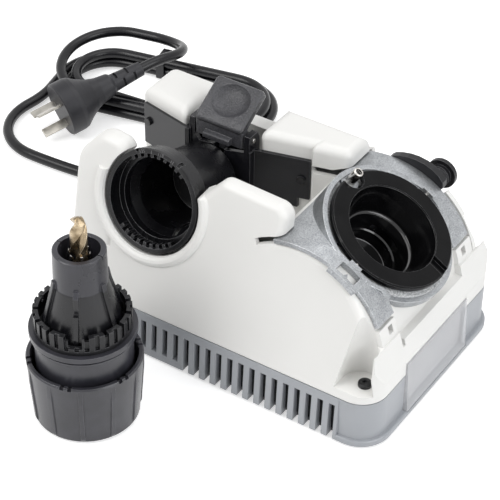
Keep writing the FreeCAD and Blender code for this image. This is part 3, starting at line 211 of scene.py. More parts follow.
def finish(name, dark, light, rough, metal=0.0, tone=60.0, grain=1500.0, depth=0.00006, spec=0.5, detail=4.0,
           edge=None, round_mm=0.5, fine=0.0):
    """Colour = mix(dark, light, noise at tone per metre + fine times noise at grain), then mix(edge), wear and
    a painted edge highlight, where the bevelled normal turns away from the flat one; roughness = rough +-
    ROUGH_SWING, less on edges; bump from grain."""
    paint = bpy.data.materials.new(name)
    paint.use_nodes = True
    tree = paint.node_tree
    make, link = tree.nodes.new, tree.links.new
    shader = tree.nodes["Principled BSDF"]
    place = make("ShaderNodeTexCoord")
    wander, speck = make("ShaderNodeTexNoise"), make("ShaderNodeTexNoise")
    wander.inputs["Scale"].default_value, wander.inputs["Detail"].default_value = tone, detail
    speck.inputs["Scale"].default_value, speck.inputs["Detail"].default_value = grain, SPECK_DETAIL
    link(place.outputs["Object"], wander.inputs["Vector"])
    link(place.outputs["Object"], speck.inputs["Vector"])
    mixed = make("ShaderNodeMix")
    mixed.inputs["Factor"].default_value = fine
    link(wander.outputs["Fac"], mixed.inputs["A"])
    link(speck.outputs["Fac"], mixed.inputs["B"])
    blend = make("ShaderNodeValToRGB")
    low, high = blend.color_ramp.elements
    low.position, high.position = TONE_FROM, TONE_TO
    low.color, high.color = (*dark, 1.0), (*light, 1.0)
    link(mixed.outputs["Result"], blend.inputs["Fac"])
    rounded, flat = make("ShaderNodeBevel"), make("ShaderNodeNewGeometry")
    rounded.samples = BEVEL_SAMPLES
    rounded.inputs["Radius"].default_value = MM * round_mm
    along = make("ShaderNodeVectorMath")
    along.operation = "DOT_PRODUCT"
    link(rounded.outputs["Normal"], along.inputs[0])
    link(flat.outputs["Normal"], along.inputs[1])
    # Mask for wear and a painted highlight along the edges.
    edge_wear_and_highlight = make("ShaderNodeMapRange")
    edge_wear_and_highlight.inputs["From Min"].default_value, edge_wear_and_highlight.inputs["From Max"].default_value = EDGE_WEAR_AND_HIGHLIGHT_FROM, EDGE_WEAR_AND_HIGHLIGHT_TO
    link(along.outputs["Value"], edge_wear_and_highlight.inputs["Value"])
    uneven, patchy = make("ShaderNodeMapRange"), make("ShaderNodeMath")
    uneven.inputs["From Min"].default_value, uneven.inputs["From Max"].default_value = PATCH_FROM, PATCH_TO
    uneven.inputs["To Min"].default_value = PATCH_LEAST
    link(wander.outputs["Fac"], uneven.inputs["Value"])
    patchy.operation = "MULTIPLY"
    link(edge_wear_and_highlight.outputs[0], patchy.inputs[0])
    link(uneven.outputs[0], patchy.inputs[1])
    # Painted edge highlight and wear: the edge colour is mixed in where the mask is high.
    colour = make("ShaderNodeMix")
    colour.data_type = "RGBA"
    colour.inputs["B"].default_value = (*(edge or [min(1.0, c * EDGE_LIGHTER) for c in light]), 1.0)
    link(patchy.outputs[0], colour.inputs["Factor"])
    link(blend.outputs["Color"], colour.inputs["A"])
    link(colour.outputs["Result"], shader.inputs["Base Color"])
    gloss = make("ShaderNodeMapRange")
    gloss.inputs["To Min"].default_value = max(ROUGH_LEAST, rough - ROUGH_SWING)
    gloss.inputs["To Max"].default_value = rough + ROUGH_SWING
    link(wander.outputs["Fac"], gloss.inputs["Value"])
    polish = make("ShaderNodeMath")
    polish.operation = "MULTIPLY_ADD"
    polish.inputs[1].default_value = -EDGE_POLISH
    polish.use_clamp = True
    link(patchy.outputs[0], polish.inputs[0])
    link(gloss.outputs[0], polish.inputs[2])
    link(polish.outputs[0], shader.inputs["Roughness"])
    bump = make("ShaderNodeBump")
    bump.inputs["Strength"].default_value, bump.inputs["Distance"].default_value = BUMP_STRENGTH, depth
    link(speck.outputs["Fac"], bump.inputs["Height"])
    link(rounded.outputs["Normal"], bump.inputs["Normal"])
    link(bump.outputs["Normal"], shader.inputs["Normal"])
    shader.inputs["Metallic"].default_value = metal
    shader.inputs["Specular IOR Level"].default_value = spec
    return paint


print("a finish has tones from %.2f to %.2f of its noise" % (TONE_FROM, TONE_TO))

# %% [markdown]
# ## Finishes that the record names
# The record names a finish for each piece. Housing and base are moulded plastic, the arch plate is bare zinc
# with a fine cloudy crystal, and the tube in it is polished black. One function makes them all, so they differ
# only in tones, gloss and grain.

# %% Named finishes
# Each edge colour is wear and a painted highlight along the edges, lighter than the body's tones.
FINISHES = {
    "housing_white": finish("moulded_off_white", (0.80, 0.795, 0.775), (0.825, 0.82, 0.80), 0.42, tone=14.0,
                            edge=(0.86, 0.855, 0.84)),
    "base_grey": finish("moulded_blue_grey", (0.345, 0.36, 0.385), (0.38, 0.395, 0.42), 0.38, tone=18.0,
                        edge=(0.46, 0.475, 0.50)),
    "black_plastic": finish("satin_black", (0.006, 0.006, 0.0075), (0.011, 0.011, 0.013), 0.33, grain=2200.0,
                            depth=0.00008, spec=0.34, edge=(0.14, 0.14, 0.15)),
    "gloss_black": finish("smooth_black", (0.003, 0.003, 0.0035), (0.006, 0.006, 0.0065), 0.10, depth=0.00001,
                          spec=0.13, edge=(0.16, 0.16, 0.165), round_mm=0.45),
    "diecast": finish("bare_die_casting", (0.25, 0.26, 0.275), (0.50, 0.515, 0.53), 0.40, 0.8, tone=160.0,
                      grain=1500.0, depth=0.00008, detail=8.0, edge=(0.72, 0.735, 0.75), fine=0.72),
    "steel": finish("ground_steel", (0.55, 0.53, 0.50), (0.68, 0.66, 0.63), 0.16, 1.0, tone=220.0,
                    edge=(0.85, 0.84, 0.82)),
    "black_steel": finish("black_oxide", (0.010, 0.010, 0.011), (0.024, 0.024, 0.026), 0.36, 0.3, tone=300.0),
    "bronze": finish("bronze_coat", (0.20, 0.15, 0.09), (0.50, 0.40, 0.27), 0.26, 0.9, tone=180.0,
                     edge=(0.66, 0.57, 0.43)),
    "armature": finish("varnished_iron", (0.16, 0.10, 0.06), (0.32, 0.21, 0.12), 0.35, 0.5, tone=260.0),
    "grit": finish("diamond_grit", (0.05, 0.05, 0.052), (0.20, 0.20, 0.21), 0.55, 0.4, tone=2600.0,
                   grain=3200.0, depth=0.0002),
    "foam": finish("speckled_foam", (0.33, 0.34, 0.35), (0.80, 0.81, 0.82), 0.9, tone=1100.0, grain=1300.0,
                   depth=0.0004, spec=0.2),
    "rubber": finish("black_flexible", (0.004, 0.004, 0.0055), (0.008, 0.008, 0.010), 0.26, grain=1800.0,
                     depth=0.00003, spec=0.34, edge=(0.03, 0.03, 0.034)),
    "nickel": finish("nickel_plate", (0.40, 0.385, 0.35), (0.52, 0.50, 0.455), 0.30, 1.0, tone=200.0),
    "tie": finish("flat_black_tie", (0.012, 0.012, 0.014), (0.020, 0.020, 0.022), 0.42),
    "cap": finish("moulded_dark_grey", (0.06, 0.06, 0.065), (0.09, 0.09, 0.095), 0.48),
}
print("named finishes:", len(FINISHES))

# %% [markdown]
# ## Finishes of single pieces
# The black mouldings differ: the thumb lever is coarse like leather and greyer, partly its grain and partly
# painted sheen, the bracket nearly glossy, the chuck smooth. The chuck's nose is coloured darker on its cone
# than on its cylinder. Two colours on one mesh would need its faces sorted, so the shader reads the height
# instead. The dust tray is clear: its Alpha lets light straight through, which stays clean in thin walls where
# glass would bend every ray.

# %% Finishes of single pieces
# CHUCK_EDGE: wear and a painted highlight along the chuck's edges.
CHUCK_DARK, CHUCK_LIGHT, CHUCK_EDGE = (0.022, 0.022, 0.028), (0.036, 0.036, 0.045), (0.15, 0.15, 0.165)
NOSE_STEP, NOSE_BLUR, NOSE_SHARE = 0.0962, 0.0003, 0.25
TRAY_COVER, TRAY_IOR = 0.34, 1.49


def darker_below(paint, height, share):
    """Colour times share where the object's Z is under the height, in metres; the step is two blurs wide."""
    tree = paint.node_tree
    make, link = tree.nodes.new, tree.links.new
    shader = tree.nodes["Principled BSDF"]
    colour = shader.inputs["Base Color"].links[0].from_socket
    place, parts, under = make("ShaderNodeTexCoord"), make("ShaderNodeSeparateXYZ"), make("ShaderNodeMapRange")
    under.inputs["From Min"].default_value = height + NOSE_BLUR
    under.inputs["From Max"].default_value = height - NOSE_BLUR
    link(place.outputs["Object"], parts.inputs[0])
    link(parts.outputs["Z"], under.inputs["Value"])
    dimmed = make("ShaderNodeMix")
    dimmed.data_type, dimmed.blend_type = "RGBA", "MULTIPLY"
    dimmed.inputs["B"].default_value = (share, share, share, 1.0)
    link(under.outputs[0], dimmed.inputs["Factor"])
    link(colour, dimmed.inputs["A"])
    link(dimmed.outputs["Result"], shader.inputs["Base Color"])
    return paint


def clear_finish():
    """Clear moulding: TRAY_COVER of the light meets a milky face, the rest passes straight on, also from
    lamps."""
    paint = finish("clear_moulding", (0.95, 0.955, 0.98), (0.97, 0.975, 1.0), 0.07, tone=30.0, grain=90.0,
                   depth=0.00003, edge=(1.0, 1.0, 1.0))
    shader = paint.node_tree.nodes["Principled BSDF"]
    shader.inputs["Alpha"].default_value, shader.inputs["IOR"].default_value = TRAY_COVER, TRAY_IOR
    return paint


chuck_black = finish("smooth_chuck_black", CHUCK_DARK, CHUCK_LIGHT, 0.30, grain=2200.0, depth=0.00006,
                     spec=0.55, edge=CHUCK_EDGE, round_mm=0.6)
nose_black = finish("chuck_nose_black", CHUCK_DARK, CHUCK_LIGHT, 0.28, grain=2200.0, depth=0.00006, spec=0.5,
                    edge=CHUCK_EDGE, round_mm=0.6)
# Edge colours here are wear and a painted highlight along the edges.
OWN = {
    "chuck_knob": chuck_black, "chuck_sleeve": chuck_black,
    "chuck_nose": darker_below(nose_black, NOSE_STEP, NOSE_SHARE),
    "plug_body": finish("moulded_plug_black", (0.010, 0.010, 0.013), (0.017, 0.017, 0.021), 0.43, grain=1500.0,
                        depth=0.00012, spec=0.4, edge=(0.05, 0.05, 0.056)),
    # Thumb lever: its greyer black is partly its grain and partly painted sheen.
    "thumb_lever": finish("leather_grain_and_painted_sheen", (0.024, 0.024, 0.028), (0.062, 0.062, 0.070), 0.31,
                          grain=1000.0, depth=0.0008, edge=(0.15, 0.15, 0.16), round_mm=0.9, fine=0.6),
    "alignment_bracket": finish("bright_black", (0.006, 0.006, 0.008), (0.011, 0.011, 0.014), 0.24,
                                grain=2400.0, depth=0.00004, edge=(0.22, 0.22, 0.23), round_mm=0.4),
    "alignment_tube": finish("deep_black", (0.004, 0.004, 0.005), (0.008, 0.008, 0.0095), 0.27, grain=2400.0,
                             depth=0.00005, spec=0.36, edge=(0.20, 0.20, 0.21), round_mm=0.6),
}
FINISHES["clear"] = clear_finish()
for part in frame["record"]["subparts"]:
    piece = nodes[part["node"]]
    piece.data.materials.clear()
    piece.data.materials.append(OWN.get(part["node"], FINISHES[part["material_slot"]]))
print("finishes of single pieces:", len(OWN) + 1, "- dressed:", len(nodes), "pieces")

# %% [markdown]
# ## Frames on the machine
# Two round features lean: the alignment port leans back with the front wall by 17 degrees, the sharpening
# tube leans to the right so that its axis stands 59 degrees above the table, half of a 118 degree drill point.
# A piece for either is drawn round its own axis in millimetres and carried over by a turn and a shift. An
# object could be turned instead, but then its finish, which reads Object coordinates, would turn with it.

# %% Frames
MACHINE = np.array([0.00104, 0.043465, 0.0])
PORT_LEAN, PORT_X, PORT_Z = 17.0, -57.0, 98.9
FRONT_Y, FRONT_FOOT_Z = -74.5, 32.4
TUBE_LEAN, GRIND_X, GRIND_Z = 90.0 - 59.0, 44.2, 50.4


def leaned(axis, degrees, place):
    """4 by 4 matrix: a turn about a frame axis, then a shift from the machine's own origin, given in mm."""
    turn = Matrix.Rotation(np.radians(degrees), 4, axis)
    turn.translation = Vector(MACHINE + MM * np.array(place))
    return turn


def carried(points, matrix):
    """points times the turn of the matrix, plus its shift; points are in mm, the result is in metres."""
    m = np.array(matrix)
    return MM * points @ m[:3, :3].T + m[:3, 3]


def shaped(name, points, faces, smooth=False):
    """An object at the origin whose mesh has these points, in metres, and these faces, as corner numbers."""
    mesh = bpy.data.meshes.new(name)
    mesh.from_pydata(points.tolist(), [], faces)
    mesh.polygons.foreach_set("use_smooth", np.full(len(mesh.polygons), smooth))
    mesh.update()
    piece = bpy.data.objects.new(name, mesh)
    scene.collection.objects.link(piece)
    return piece


PORT_Y = FRONT_Y + (PORT_Z - FRONT_FOOT_Z) * np.tan(np.radians(PORT_LEAN))
PORT = leaned("X", 90.0 - PORT_LEAN, (PORT_X, PORT_Y, PORT_Z))
TUBE = leaned("Y", TUBE_LEAN, (GRIND_X, 0.0, GRIND_Z))
print("port axis", [round(v, 3) for v in PORT.col[2][:3]], "tube axis", [round(v, 3) for v in TUBE.col[2][:3]])

# %% [markdown]
# ## Polished lining of the sharpening tube
# The tube is polished inside and narrows from its rim to a rounded step, which shows as one long arc of light.
# Below it lie smaller steps. A bevel on the model would round every edge alike, so the lining is a closed skin
# turned about the tube's axis, drawn in front of the model's plainer bore: its near side stands clear of the
# bore and its far side is hidden behind the near one. The points lie close together on the outline, so that
# smooth shading keeps each corner crisp.

# %% Lining
RIM_H, STEP_ROUND = 59.9, 2.1
MOUTH = np.array([(28.85, -0.9), (23.5, -18.6)])
STEPS = np.array([(21.4, -20.5), (19.2, -26.1), (18.8, -31.4), (17.8, -32.2), (17.05, -40.0), (16.6, -40.3),
                  (9.2, -40.45)])
STEP_TURN = np.linspace(17.0, 85.0, 14)
NEAR_BY, FAR_BY = np.array([-0.08, RIM_H + 0.08]), np.array([0.45, RIM_H - 0.25])


def turned_skin(name, near, far, matrix, around=192):
    """P(u, v) = (r(u) cos v, r(u) sin v, z(u)): a closed outline (r, z), near side in and far side back,
    turned about Z in even steps of v."""
    outline = np.vstack([near, far[::-1]])
    v = np.linspace(0.0, 2.0 * np.pi, around, endpoint=False)
    r, z = outline[:, 0][:, None], outline[:, 1][:, None]
    points = np.stack([r * np.cos(v), r * np.sin(v), z + 0.0 * v], axis=-1)
    n = len(outline)
    i, j = np.meshgrid(np.arange(n), np.arange(around), indexing="ij")
    i2, j2 = (i + 1) % n, (j + 1) % around
    faces = np.stack([i * around + j, i * around + j2, i2 * around + j2, i2 * around + j], axis=-1)
    return shaped(name, carried(points.reshape(-1, 3), matrix), faces.reshape(-1, 4).tolist(), smooth=True)


def dense(corners, step=0.25):
    """Points along a line of corners: every corner, and every step of the way between them."""
    corners = np.array(corners)
    run = np.concatenate([[0.0], np.cumsum(np.hypot(*np.diff(corners, axis=0).T))])
    s = np.union1d(np.arange(0.0, run[-1], step), run)
    return np.stack([np.interp(s, run, corners[:, 0]), np.interp(s, run, corners[:, 1])], axis=-1)


def rounding(start, radius, degrees):
    """(r, z) along a circle that leaves start at the first angle off the axis and turns inward to the last."""
    a = np.radians(degrees)
    return start + radius * np.column_stack([np.cos(a) - np.cos(a[0]), np.sin(a[0]) - np.sin(a)])


profile = dense(np.vstack([MOUTH[:1], rounding(MOUTH[1], STEP_ROUND, STEP_TURN), STEPS]))
lining = turned_skin("tube_lining", profile + NEAR_BY, profile + FAR_BY, TUBE)
lining.data.materials.append(finish("polished_black", (0.003, 0.003, 0.0035), (0.005, 0.005, 0.0055), 0.07,
                                    depth=0.00001, spec=0.6, edge=(0.10, 0.10, 0.105), round_mm=0.3))
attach(lining, "sharpening_tube")
print("lining:", len(lining.data.polygons), "faces")

# %% [markdown]
# ## Painted shade in the cam pin's hole
# The cam pin beside the tube is drawn from bar with a centre hole in its end, whose floor lies in shade. The
# shade is painted: a thin black disc lies on the floor. It could be a second finish on the pin, but the pin's
# mesh is left alone.

# %% Painted shade in the cam pin's hole
PIN_REACH, PIN_SIDE = 36.6, 6.6
FLOOR_H, FLOOR_R, FLOOR_MIDDLE, FLOOR_THICK = 64.56, 1.92, 0.05, 0.05
pin_x = GRIND_X - PIN_REACH * math.cos(math.radians(TUBE_LEAN))
pin_z = GRIND_Z + PIN_REACH * math.sin(math.radians(TUBE_LEAN))
# Painted shade: a black disc on the hole's floor stands for the shade in the hole.
shade_disc = dense([(FLOOR_R, FLOOR_H), (FLOOR_MIDDLE, FLOOR_H)])
pin_hole_shade = turned_skin("cam_pin_painted_shade", shade_disc, shade_disc - (0.0, FLOOR_THICK),
                        leaned("Y", TUBE_LEAN, (pin_x, PIN_SIDE, pin_z)), 48)
pin_hole_shade.data.materials.append(FINISHES["black_steel"])
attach(pin_hole_shade, "angle_arch")
print("pin floor:", len(pin_hole_shade.data.polygons), "faces")

# %% [markdown]
# ## Thumb rest on the lever
# The lever ends in a padded rest with a deep oval dish for the thumb and edges that roll over. It could be
# sculpted, but a formula gives the same dish each run. It is a skin over the model's plainer paddle, drawn as
# rings round the dish's middle that grow from a point to the outline, so that the dish and the rolled edge both
# get even faces. A spot on the paddle is (x, u): across, and up its slope.

# %% Form of the thumb rest
REST_MIDDLE, DISH_MIDDLE = np.array([-51.75, 10.65]), np.array([-51.75, 12.6])
REST_HALF, REST_CORNER = np.array([17.15, 15.45]), 2.8
REST_HIGH, REST_ROLL, REST_THICK = 1.0, 1.8, 0.25
DISH_HALF, DISH_DEEP = np.array([12.8, 11.2]), 4.1
FRONT_FROM, FRONT_RUN, FRONT_DROP = 2.0, 6.0, 0.9
PADDLE_Y, PADDLE_Z, SLOPE_COS, SLOPE_SIN = 12.0, 122.0, 0.857, 0.514


def inside_rest(spots):
    """How far each (x, u) lies inside a rectangle with round corners: the corner radius less the distance to
    the rectangle's core."""
    q = np.abs(spots - REST_MIDDLE) - (REST_HALF - REST_CORNER)
    return REST_CORNER - np.hypot(*np.moveaxis(np.maximum(q, 0.0), -1, 0)) - np.minimum(q.max(axis=-1), 0.0)


def rest_height(spots):
    """Height = flat - dish - roll - front: the dish is deep times (1 - q cubed) inside its oval, the roll a
    quarter circle along the edge, and the front bends down as a parabola."""
    q = np.minimum(np.hypot(*np.moveaxis((spots - DISH_MIDDLE) / DISH_HALF, -1, 0)), 1.0)
    s = REST_ROLL - np.clip(inside_rest(spots), 0.0, REST_ROLL)
    front = np.maximum(FRONT_FROM - spots[..., 1], 0.0) / FRONT_RUN
    roll = REST_ROLL - np.sqrt(REST_ROLL**2 - s**2)
    return REST_HIGH - DISH_DEEP * (1.0 - q**3) - roll - FRONT_DROP * front**2


def on_paddle(spots, height):
    """(x, u) and a height to the machine's axes: u climbs the slope of 31 degrees, the height stands on it."""
    u = spots[..., 1]
    return np.stack([spots[..., 0], PADDLE_Y + SLOPE_COS * u - SLOPE_SIN * height,
                     PADDLE_Z + SLOPE_SIN * u + SLOPE_COS * height], axis=-1)


print("dish floor %.2f mm, flat %.2f mm" % (rest_height(DISH_MIDDLE), REST_HIGH))

# %% [markdown]
# The rings need the distance from the dish's middle to the outline in every direction. It has no short formula,
# so it is halved down to: a guess between a point inside and a point outside takes the place of one of them.

# %% Thumb rest
OUTSIDE, HALVINGS = 40.0, 40


def thumb_rest(name, rings=64, around=180):
    """P(t, v) = dish middle + t L(v) (cos v, sin v), with L the run to the outline; the under side is the same
    skin, REST_THICK lower, and a border joins them."""
    v = np.linspace(0.0, 2.0 * np.pi, around, endpoint=False)
    way = np.stack([np.cos(v), np.sin(v)], axis=-1)
    near, far = np.zeros(around), np.full(around, OUTSIDE)
    for _ in range(HALVINGS):
        mid = (near + far) / 2.0
        within = inside_rest(DISH_MIDDLE + mid[:, None] * way) > 0.0
        near, far = np.where(within, mid, near), np.where(within, far, mid)
    t = np.linspace(0.0, 1.0, rings + 1)[1:]
    grown = DISH_MIDDLE + t[:, None, None] * (near[:, None] * way)
    spots = np.vstack([DISH_MIDDLE[None], grown.reshape(-1, 2)])
    height = rest_height(spots)
    points = np.vstack([on_paddle(spots, height), on_paddle(spots, height - REST_THICK)])
    i, j = np.meshgrid(np.arange(rings - 1), np.arange(around), indexing="ij")
    j2 = (j + 1) % around
    skin = 1 + np.stack([i * around + j, (i + 1) * around + j, (i + 1) * around + j2, i * around + j2], axis=-1)
    skin = skin.reshape(-1, 4)
    one, two = np.arange(around), (np.arange(around) + 1) % around
    fan = np.stack([0 * one, 1 + one, 1 + two], axis=-1)
    size, rim = len(spots), 1 + (rings - 1) * around
    border = np.stack([rim + one, size + rim + one, size + rim + two, rim + two], axis=-1)
    faces = skin.tolist() + fan.tolist() + (size + skin[:, ::-1]).tolist() + (size + fan[:, ::-1]).tolist()
    return shaped(name, MACHINE + MM * points, faces + border.tolist(), smooth=True)


rest = thumb_rest("thumb_rest")
rest.data.materials.append(OWN["thumb_lever"])
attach(rest, "thumb_lever")
print("thumb rest:", len(rest.data.polygons), "faces")

# %% [markdown]
# ## Rear web of the bracket
# Behind the lever's hinge a black web joins the bracket's two ears and shuts off the view into the machine. It
# could be a plane, but a plane has no edge for the light. It is a flat outline given a thickness, with a notch
# for the lever's finger.

# %% Rear web
WEB_LINE = np.array([(-73.0, 90.0), (-31.0, 90.0), (-31.0, 105.5), (-33.0, 107.5), (-46.0, 107.5),
                     (-48.0, 105.5), (-55.5, 105.5), (-57.5, 107.5), (-71.0, 107.5), (-73.0, 105.5)])
WEB_FRONT, WEB_BACK = 20.3, 20.8


def upright_sheet(name, outline, front, back):
    """Two copies of an outline in (x, z), at y = front and y = back, with a wall of quads between them; mm."""
    n = len(outline)
    x, z = outline.T
    points = np.vstack([np.column_stack([x, 0.0 * x + y, z]) for y in (front, back)])
    k = np.arange(n)
    k2 = (k + 1) % n
    walls = np.stack([k, n + k, n + k2, k2], axis=-1)
    return shaped(name, MACHINE + MM * points, [k.tolist(), (n + k[::-1]).tolist()] + walls.tolist())


web = upright_sheet("bracket_web", WEB_LINE, WEB_FRONT, WEB_BACK)
web.data.materials.append(OWN["alignment_bracket"])
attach(web, "housing")
print("web:", len(web.data.polygons), "faces")

# %% [markdown]
# ## Painted shade behind the vents
# Behind the comb of vents the inside lies in shade. Less light in the room would darken the whole machine, so
# the shade is painted: a black sheet stands 0.6 mm behind the front wall. It is one more upright sheet.

# %% Painted shade behind the vents
# Painted shade: a black sheet where the inside of the machine is only in shade.
SHADE_SHEET_LINE = np.array([(-83.0, 1.7), (85.6, 1.7), (85.6, 26.2), (84.4, 27.4), (-81.8, 27.4), (-83.0, 26.2)])
SHADE_SHEET_FRONT, SHADE_SHEET_BACK = -70.9, -70.5
shade_sheet = upright_sheet("vent_painted_shade", SHADE_SHEET_LINE, SHADE_SHEET_FRONT, SHADE_SHEET_BACK)
shade_sheet.data.materials.append(FINISHES["black_steel"])
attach(shade_sheet, "housing")
print("screen:", len(shade_sheet.data.polygons), "faces")

# %% [markdown]
# ## Ribs of the chuck's knob
# Eleven upright ribs give the hand a hold on the knob. A bump would vanish at the knob's outline, so each rib
# is a bar with a flat crest over one of the model's grooves. The knob widens towards its rim, so the crest
# runs out there and the knob's own edge stays widest.

# %% Ribs
CHUCK = leaned("Z", 0.0, (-49.0, -132.4, 0.0))
RIBS, RIB_FIRST = 11, 8.0
RIB_FOOT, RIB_TOP, RIB_RINGS, RIB_RAMP = 1.8, 42.2, 48, 0.4
RIB_ROOT, RIB_CREST, RIB_HIGH, RIB_SUNK = 1.7, 1.3, 0.75, 0.4
KNOB_SIDE, KNOB_RIM_R = ((1.6, 42.8), (30.9, 34.0)), 33.97


def upright_ribs(name, matrix):
    """P = (R(z) + o, w, z) turned about Z by the rib's angle: R is the knob's side, (w, o) goes round the bar,
    whose crest is the least of its height, the room under the rim's radius, and a ramp at the foot."""
    z = np.linspace(RIB_FOOT, RIB_TOP, RIB_RINGS)
    side = np.interp(z, *KNOB_SIDE)
    crest = np.minimum(np.minimum(RIB_HIGH, KNOB_RIM_R - side), RIB_RAMP * (z - RIB_FOOT))
    w = np.array([-RIB_ROOT, -RIB_CREST, RIB_CREST, RIB_ROOT])
    o = np.stack([0.0 * z - RIB_SUNK, crest, crest, 0.0 * z - RIB_SUNK], axis=-1)
    a = np.radians(RIB_FIRST + 360.0 / RIBS * np.arange(RIBS))[:, None, None]
    r = (side[:, None] + o)[None]
    points = np.stack([r * np.cos(a) - w * np.sin(a), r * np.sin(a) + w * np.cos(a),
                       np.broadcast_to(z[None, :, None], (RIBS, RIB_RINGS, 4))], axis=-1)
    i, j = np.meshgrid(np.arange(RIB_RINGS - 1), np.arange(4), indexing="ij")
    j2 = (j + 1) % 4
    sides = np.stack([4 * i + j, 4 * i + j2, 4 * (i + 1) + j2, 4 * (i + 1) + j], axis=-1).reshape(-1, 4)
    foot = np.array([[3, 2, 1, 0]])
    bar = np.vstack([sides, foot, 4 * (RIB_RINGS - 1) + foot[:, ::-1]])
    faces = (bar[None] + 4 * RIB_RINGS * np.arange(RIBS)[:, None, None]).reshape(-1, 4)
    return shaped(name, carried(points.reshape(-1, 3), matrix), faces.tolist())


knob_ribs = upright_ribs("knob_ribs", CHUCK)
knob_ribs.data.materials.append(chuck_black)
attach(knob_ribs, "chuck_knob")
print("ribs:", len(knob_ribs.data.polygons), "faces")

# %% [markdown]
# ## Figures on the alignment port
# Point angles are moulded in raised figures on the flange of the port, with strokes beside them. They stand
# only 0.08 mm proud, so it is their edges that catch light. Their dark grey, lighter than the black flange they
# are moulded in, is a painted highlight. Drawing figures point by point is slow work, so Blender's font gives
# their outline, which becomes a mesh before it is carried to the flange.

# %% Figures
FIGURES, STROKES = [("118", 87.0), ("135", 112.0)], [72.0, 69.5, 99.5]
FIGURE_TALL, STROKE_WIDE, STROKE_TALL, FIGURE_THICK = 2.9, 0.45, 1.8, 0.12
FLANGE_R, FIGURE_LIFT = 30.05, 0.02


def raised(body):
    """The outline of a short word as a mesh of points and faces in mm, centred on its own middle."""
    curve = bpy.data.curves.new("figure", "FONT")
    curve.body, curve.size, curve.extrude = body, FIGURE_TALL, FIGURE_THICK / 2.0
    curve.align_x, curve.align_y = "CENTER", "CENTER"
    thing = bpy.data.objects.new("figure", curve)
    scene.collection.objects.link(thing)
    bpy.context.view_layer.update()
    mesh = bpy.data.meshes.new_from_object(thing.evaluated_get(bpy.context.evaluated_depsgraph_get()))
    points = np.empty(3 * len(mesh.vertices))
    mesh.vertices.foreach_get("co", points)
    faces = [tuple(face.vertices) for face in mesh.polygons]
    bpy.data.objects.remove(thing)
    bpy.data.meshes.remove(mesh)
    return points.reshape(-1, 3), faces


def stroke():
    """A bar with its middle at the origin, as points and faces in mm."""
    size = np.array([STROKE_WIDE, STROKE_TALL, FIGURE_THICK])
    signs = np.stack(np.meshgrid((-1, 1), (-1, 1), (-1, 1), indexing="ij"), axis=-1).reshape(-1, 3)
    faces = [(0, 1, 3, 2), (4, 6, 7, 5), (0, 4, 5, 1), (2, 3, 7, 6), (0, 2, 6, 4), (1, 5, 7, 3)]
    return signs * size / 2.0, faces


def on_flange(points, degrees):
    """x runs clockwise round the flange, y outward, z out of the mouth: a turn about Z and a shift outward."""
    a = np.radians(degrees - 90.0)
    turn = np.array([[np.cos(a), -np.sin(a), 0.0], [np.sin(a), np.cos(a), 0.0], [0.0, 0.0, 1.0]])
    return (points + (0.0, FLANGE_R, FIGURE_LIFT)) @ turn.T


spots, plates = [], []
marks = [(raised(body), at) for body, at in FIGURES] + [(stroke(), at) for at in STROKES]
for (points, faces), at in marks:
    start = sum(len(spot) for spot in spots)
    spots.append(on_flange(points, at))
    plates += [tuple(start + k for k in face) for face in faces]
figures = shaped("flange_figures", carried(np.vstack(spots), PORT), plates)
# Painted highlight: the figures are coloured lighter than the flange's black.
figures.data.materials.append(finish("figure_painted_highlight", (0.10, 0.10, 0.105), (0.16, 0.16, 0.165), 0.4))
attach(figures, "alignment_tube")
print("figures:", len(figures.data.polygons), "faces")

# %% [markdown]
# ## Mains lead
# The lead leaves the left wall through its strain relief, drops to the table, swings round to the left and
# runs into a flat hank, then climbs over the hank to the plug. It could be joined from arcs and straight runs,
# but every joint would show. It is one line: a quadratic spline through control points, with a round section.
# A half turn is six control points on the polygon that stands round its circle, because such a spline touches
# the middle of each side of its polygon.

# %% Hank
CORD_D = 0.0074
HANK_CENTRE, HANK_DEGREES = np.array([-0.196, 0.158]), 12.0
HALF_RUN, OUT_FAR, OUT_NEAR, IN_FAR, IN_NEAR, TOP_FAR = 0.044, 0.036, -0.032, 0.028, -0.024, 0.046
RUN_SHARE, RISE_SHARE = 0.7, 0.1
Z1 = 0.0047
Z2, Z3 = Z1 + 0.0079, Z1 + 0.0158
START_R, START_MIDDLE = 0.038, -0.002
HANK_START = (-HALF_RUN - START_R, -0.010, Z1)
CORNER = math.cos(math.radians(15.0))


def hank_point(points):
    """Local (x, y, z) of the hank, turned by its angle about Z and moved to its centre."""
    p = np.atleast_2d(np.asarray(points, float))
    c, s = math.cos(math.radians(HANK_DEGREES)), math.sin(math.radians(HANK_DEGREES))
    x = HANK_CENTRE[0] + c * p[:, 0] - s * p[:, 1]
    y = HANK_CENTRE[1] + s * p[:, 0] + c * p[:, 1]
    return np.column_stack([x, y, p[:, 2]])


def half_turn(side, y0, y1, z0, z1):
    """Polygon round a half circle from y0 to y1 at the end of the runs: radius r / cos 15 degrees, at every
    30 degrees from 15 to 165."""
    r, mid = abs(y1 - y0) / 2, (y0 + y1) / 2
    a = np.radians(np.arange(15.0, 180.0, 30.0))
    start = 1.0 if y0 > y1 else -1.0
    x = side * (HALF_RUN + r / CORNER * np.sin(a))
    y = mid + start * r / CORNER * np.cos(a)
    z = z0 + (z1 - z0) * (1 - np.cos(a)) / 2
    return np.column_stack([x, y, z])


def straight(y, z0, z1, way):
    """Two points of a run, at RUN_SHARE of its half length, so that the run stays straight between the turns;
    RISE_SHARE of the climb is left to either turn."""
    x = way * RUN_SHARE * HALF_RUN * np.array([-1.0, 1.0])
    return np.column_stack([x, [y, y], [z0 + RISE_SHARE * (z1 - z0), z1 - RISE_SHARE * (z1 - z0)]])


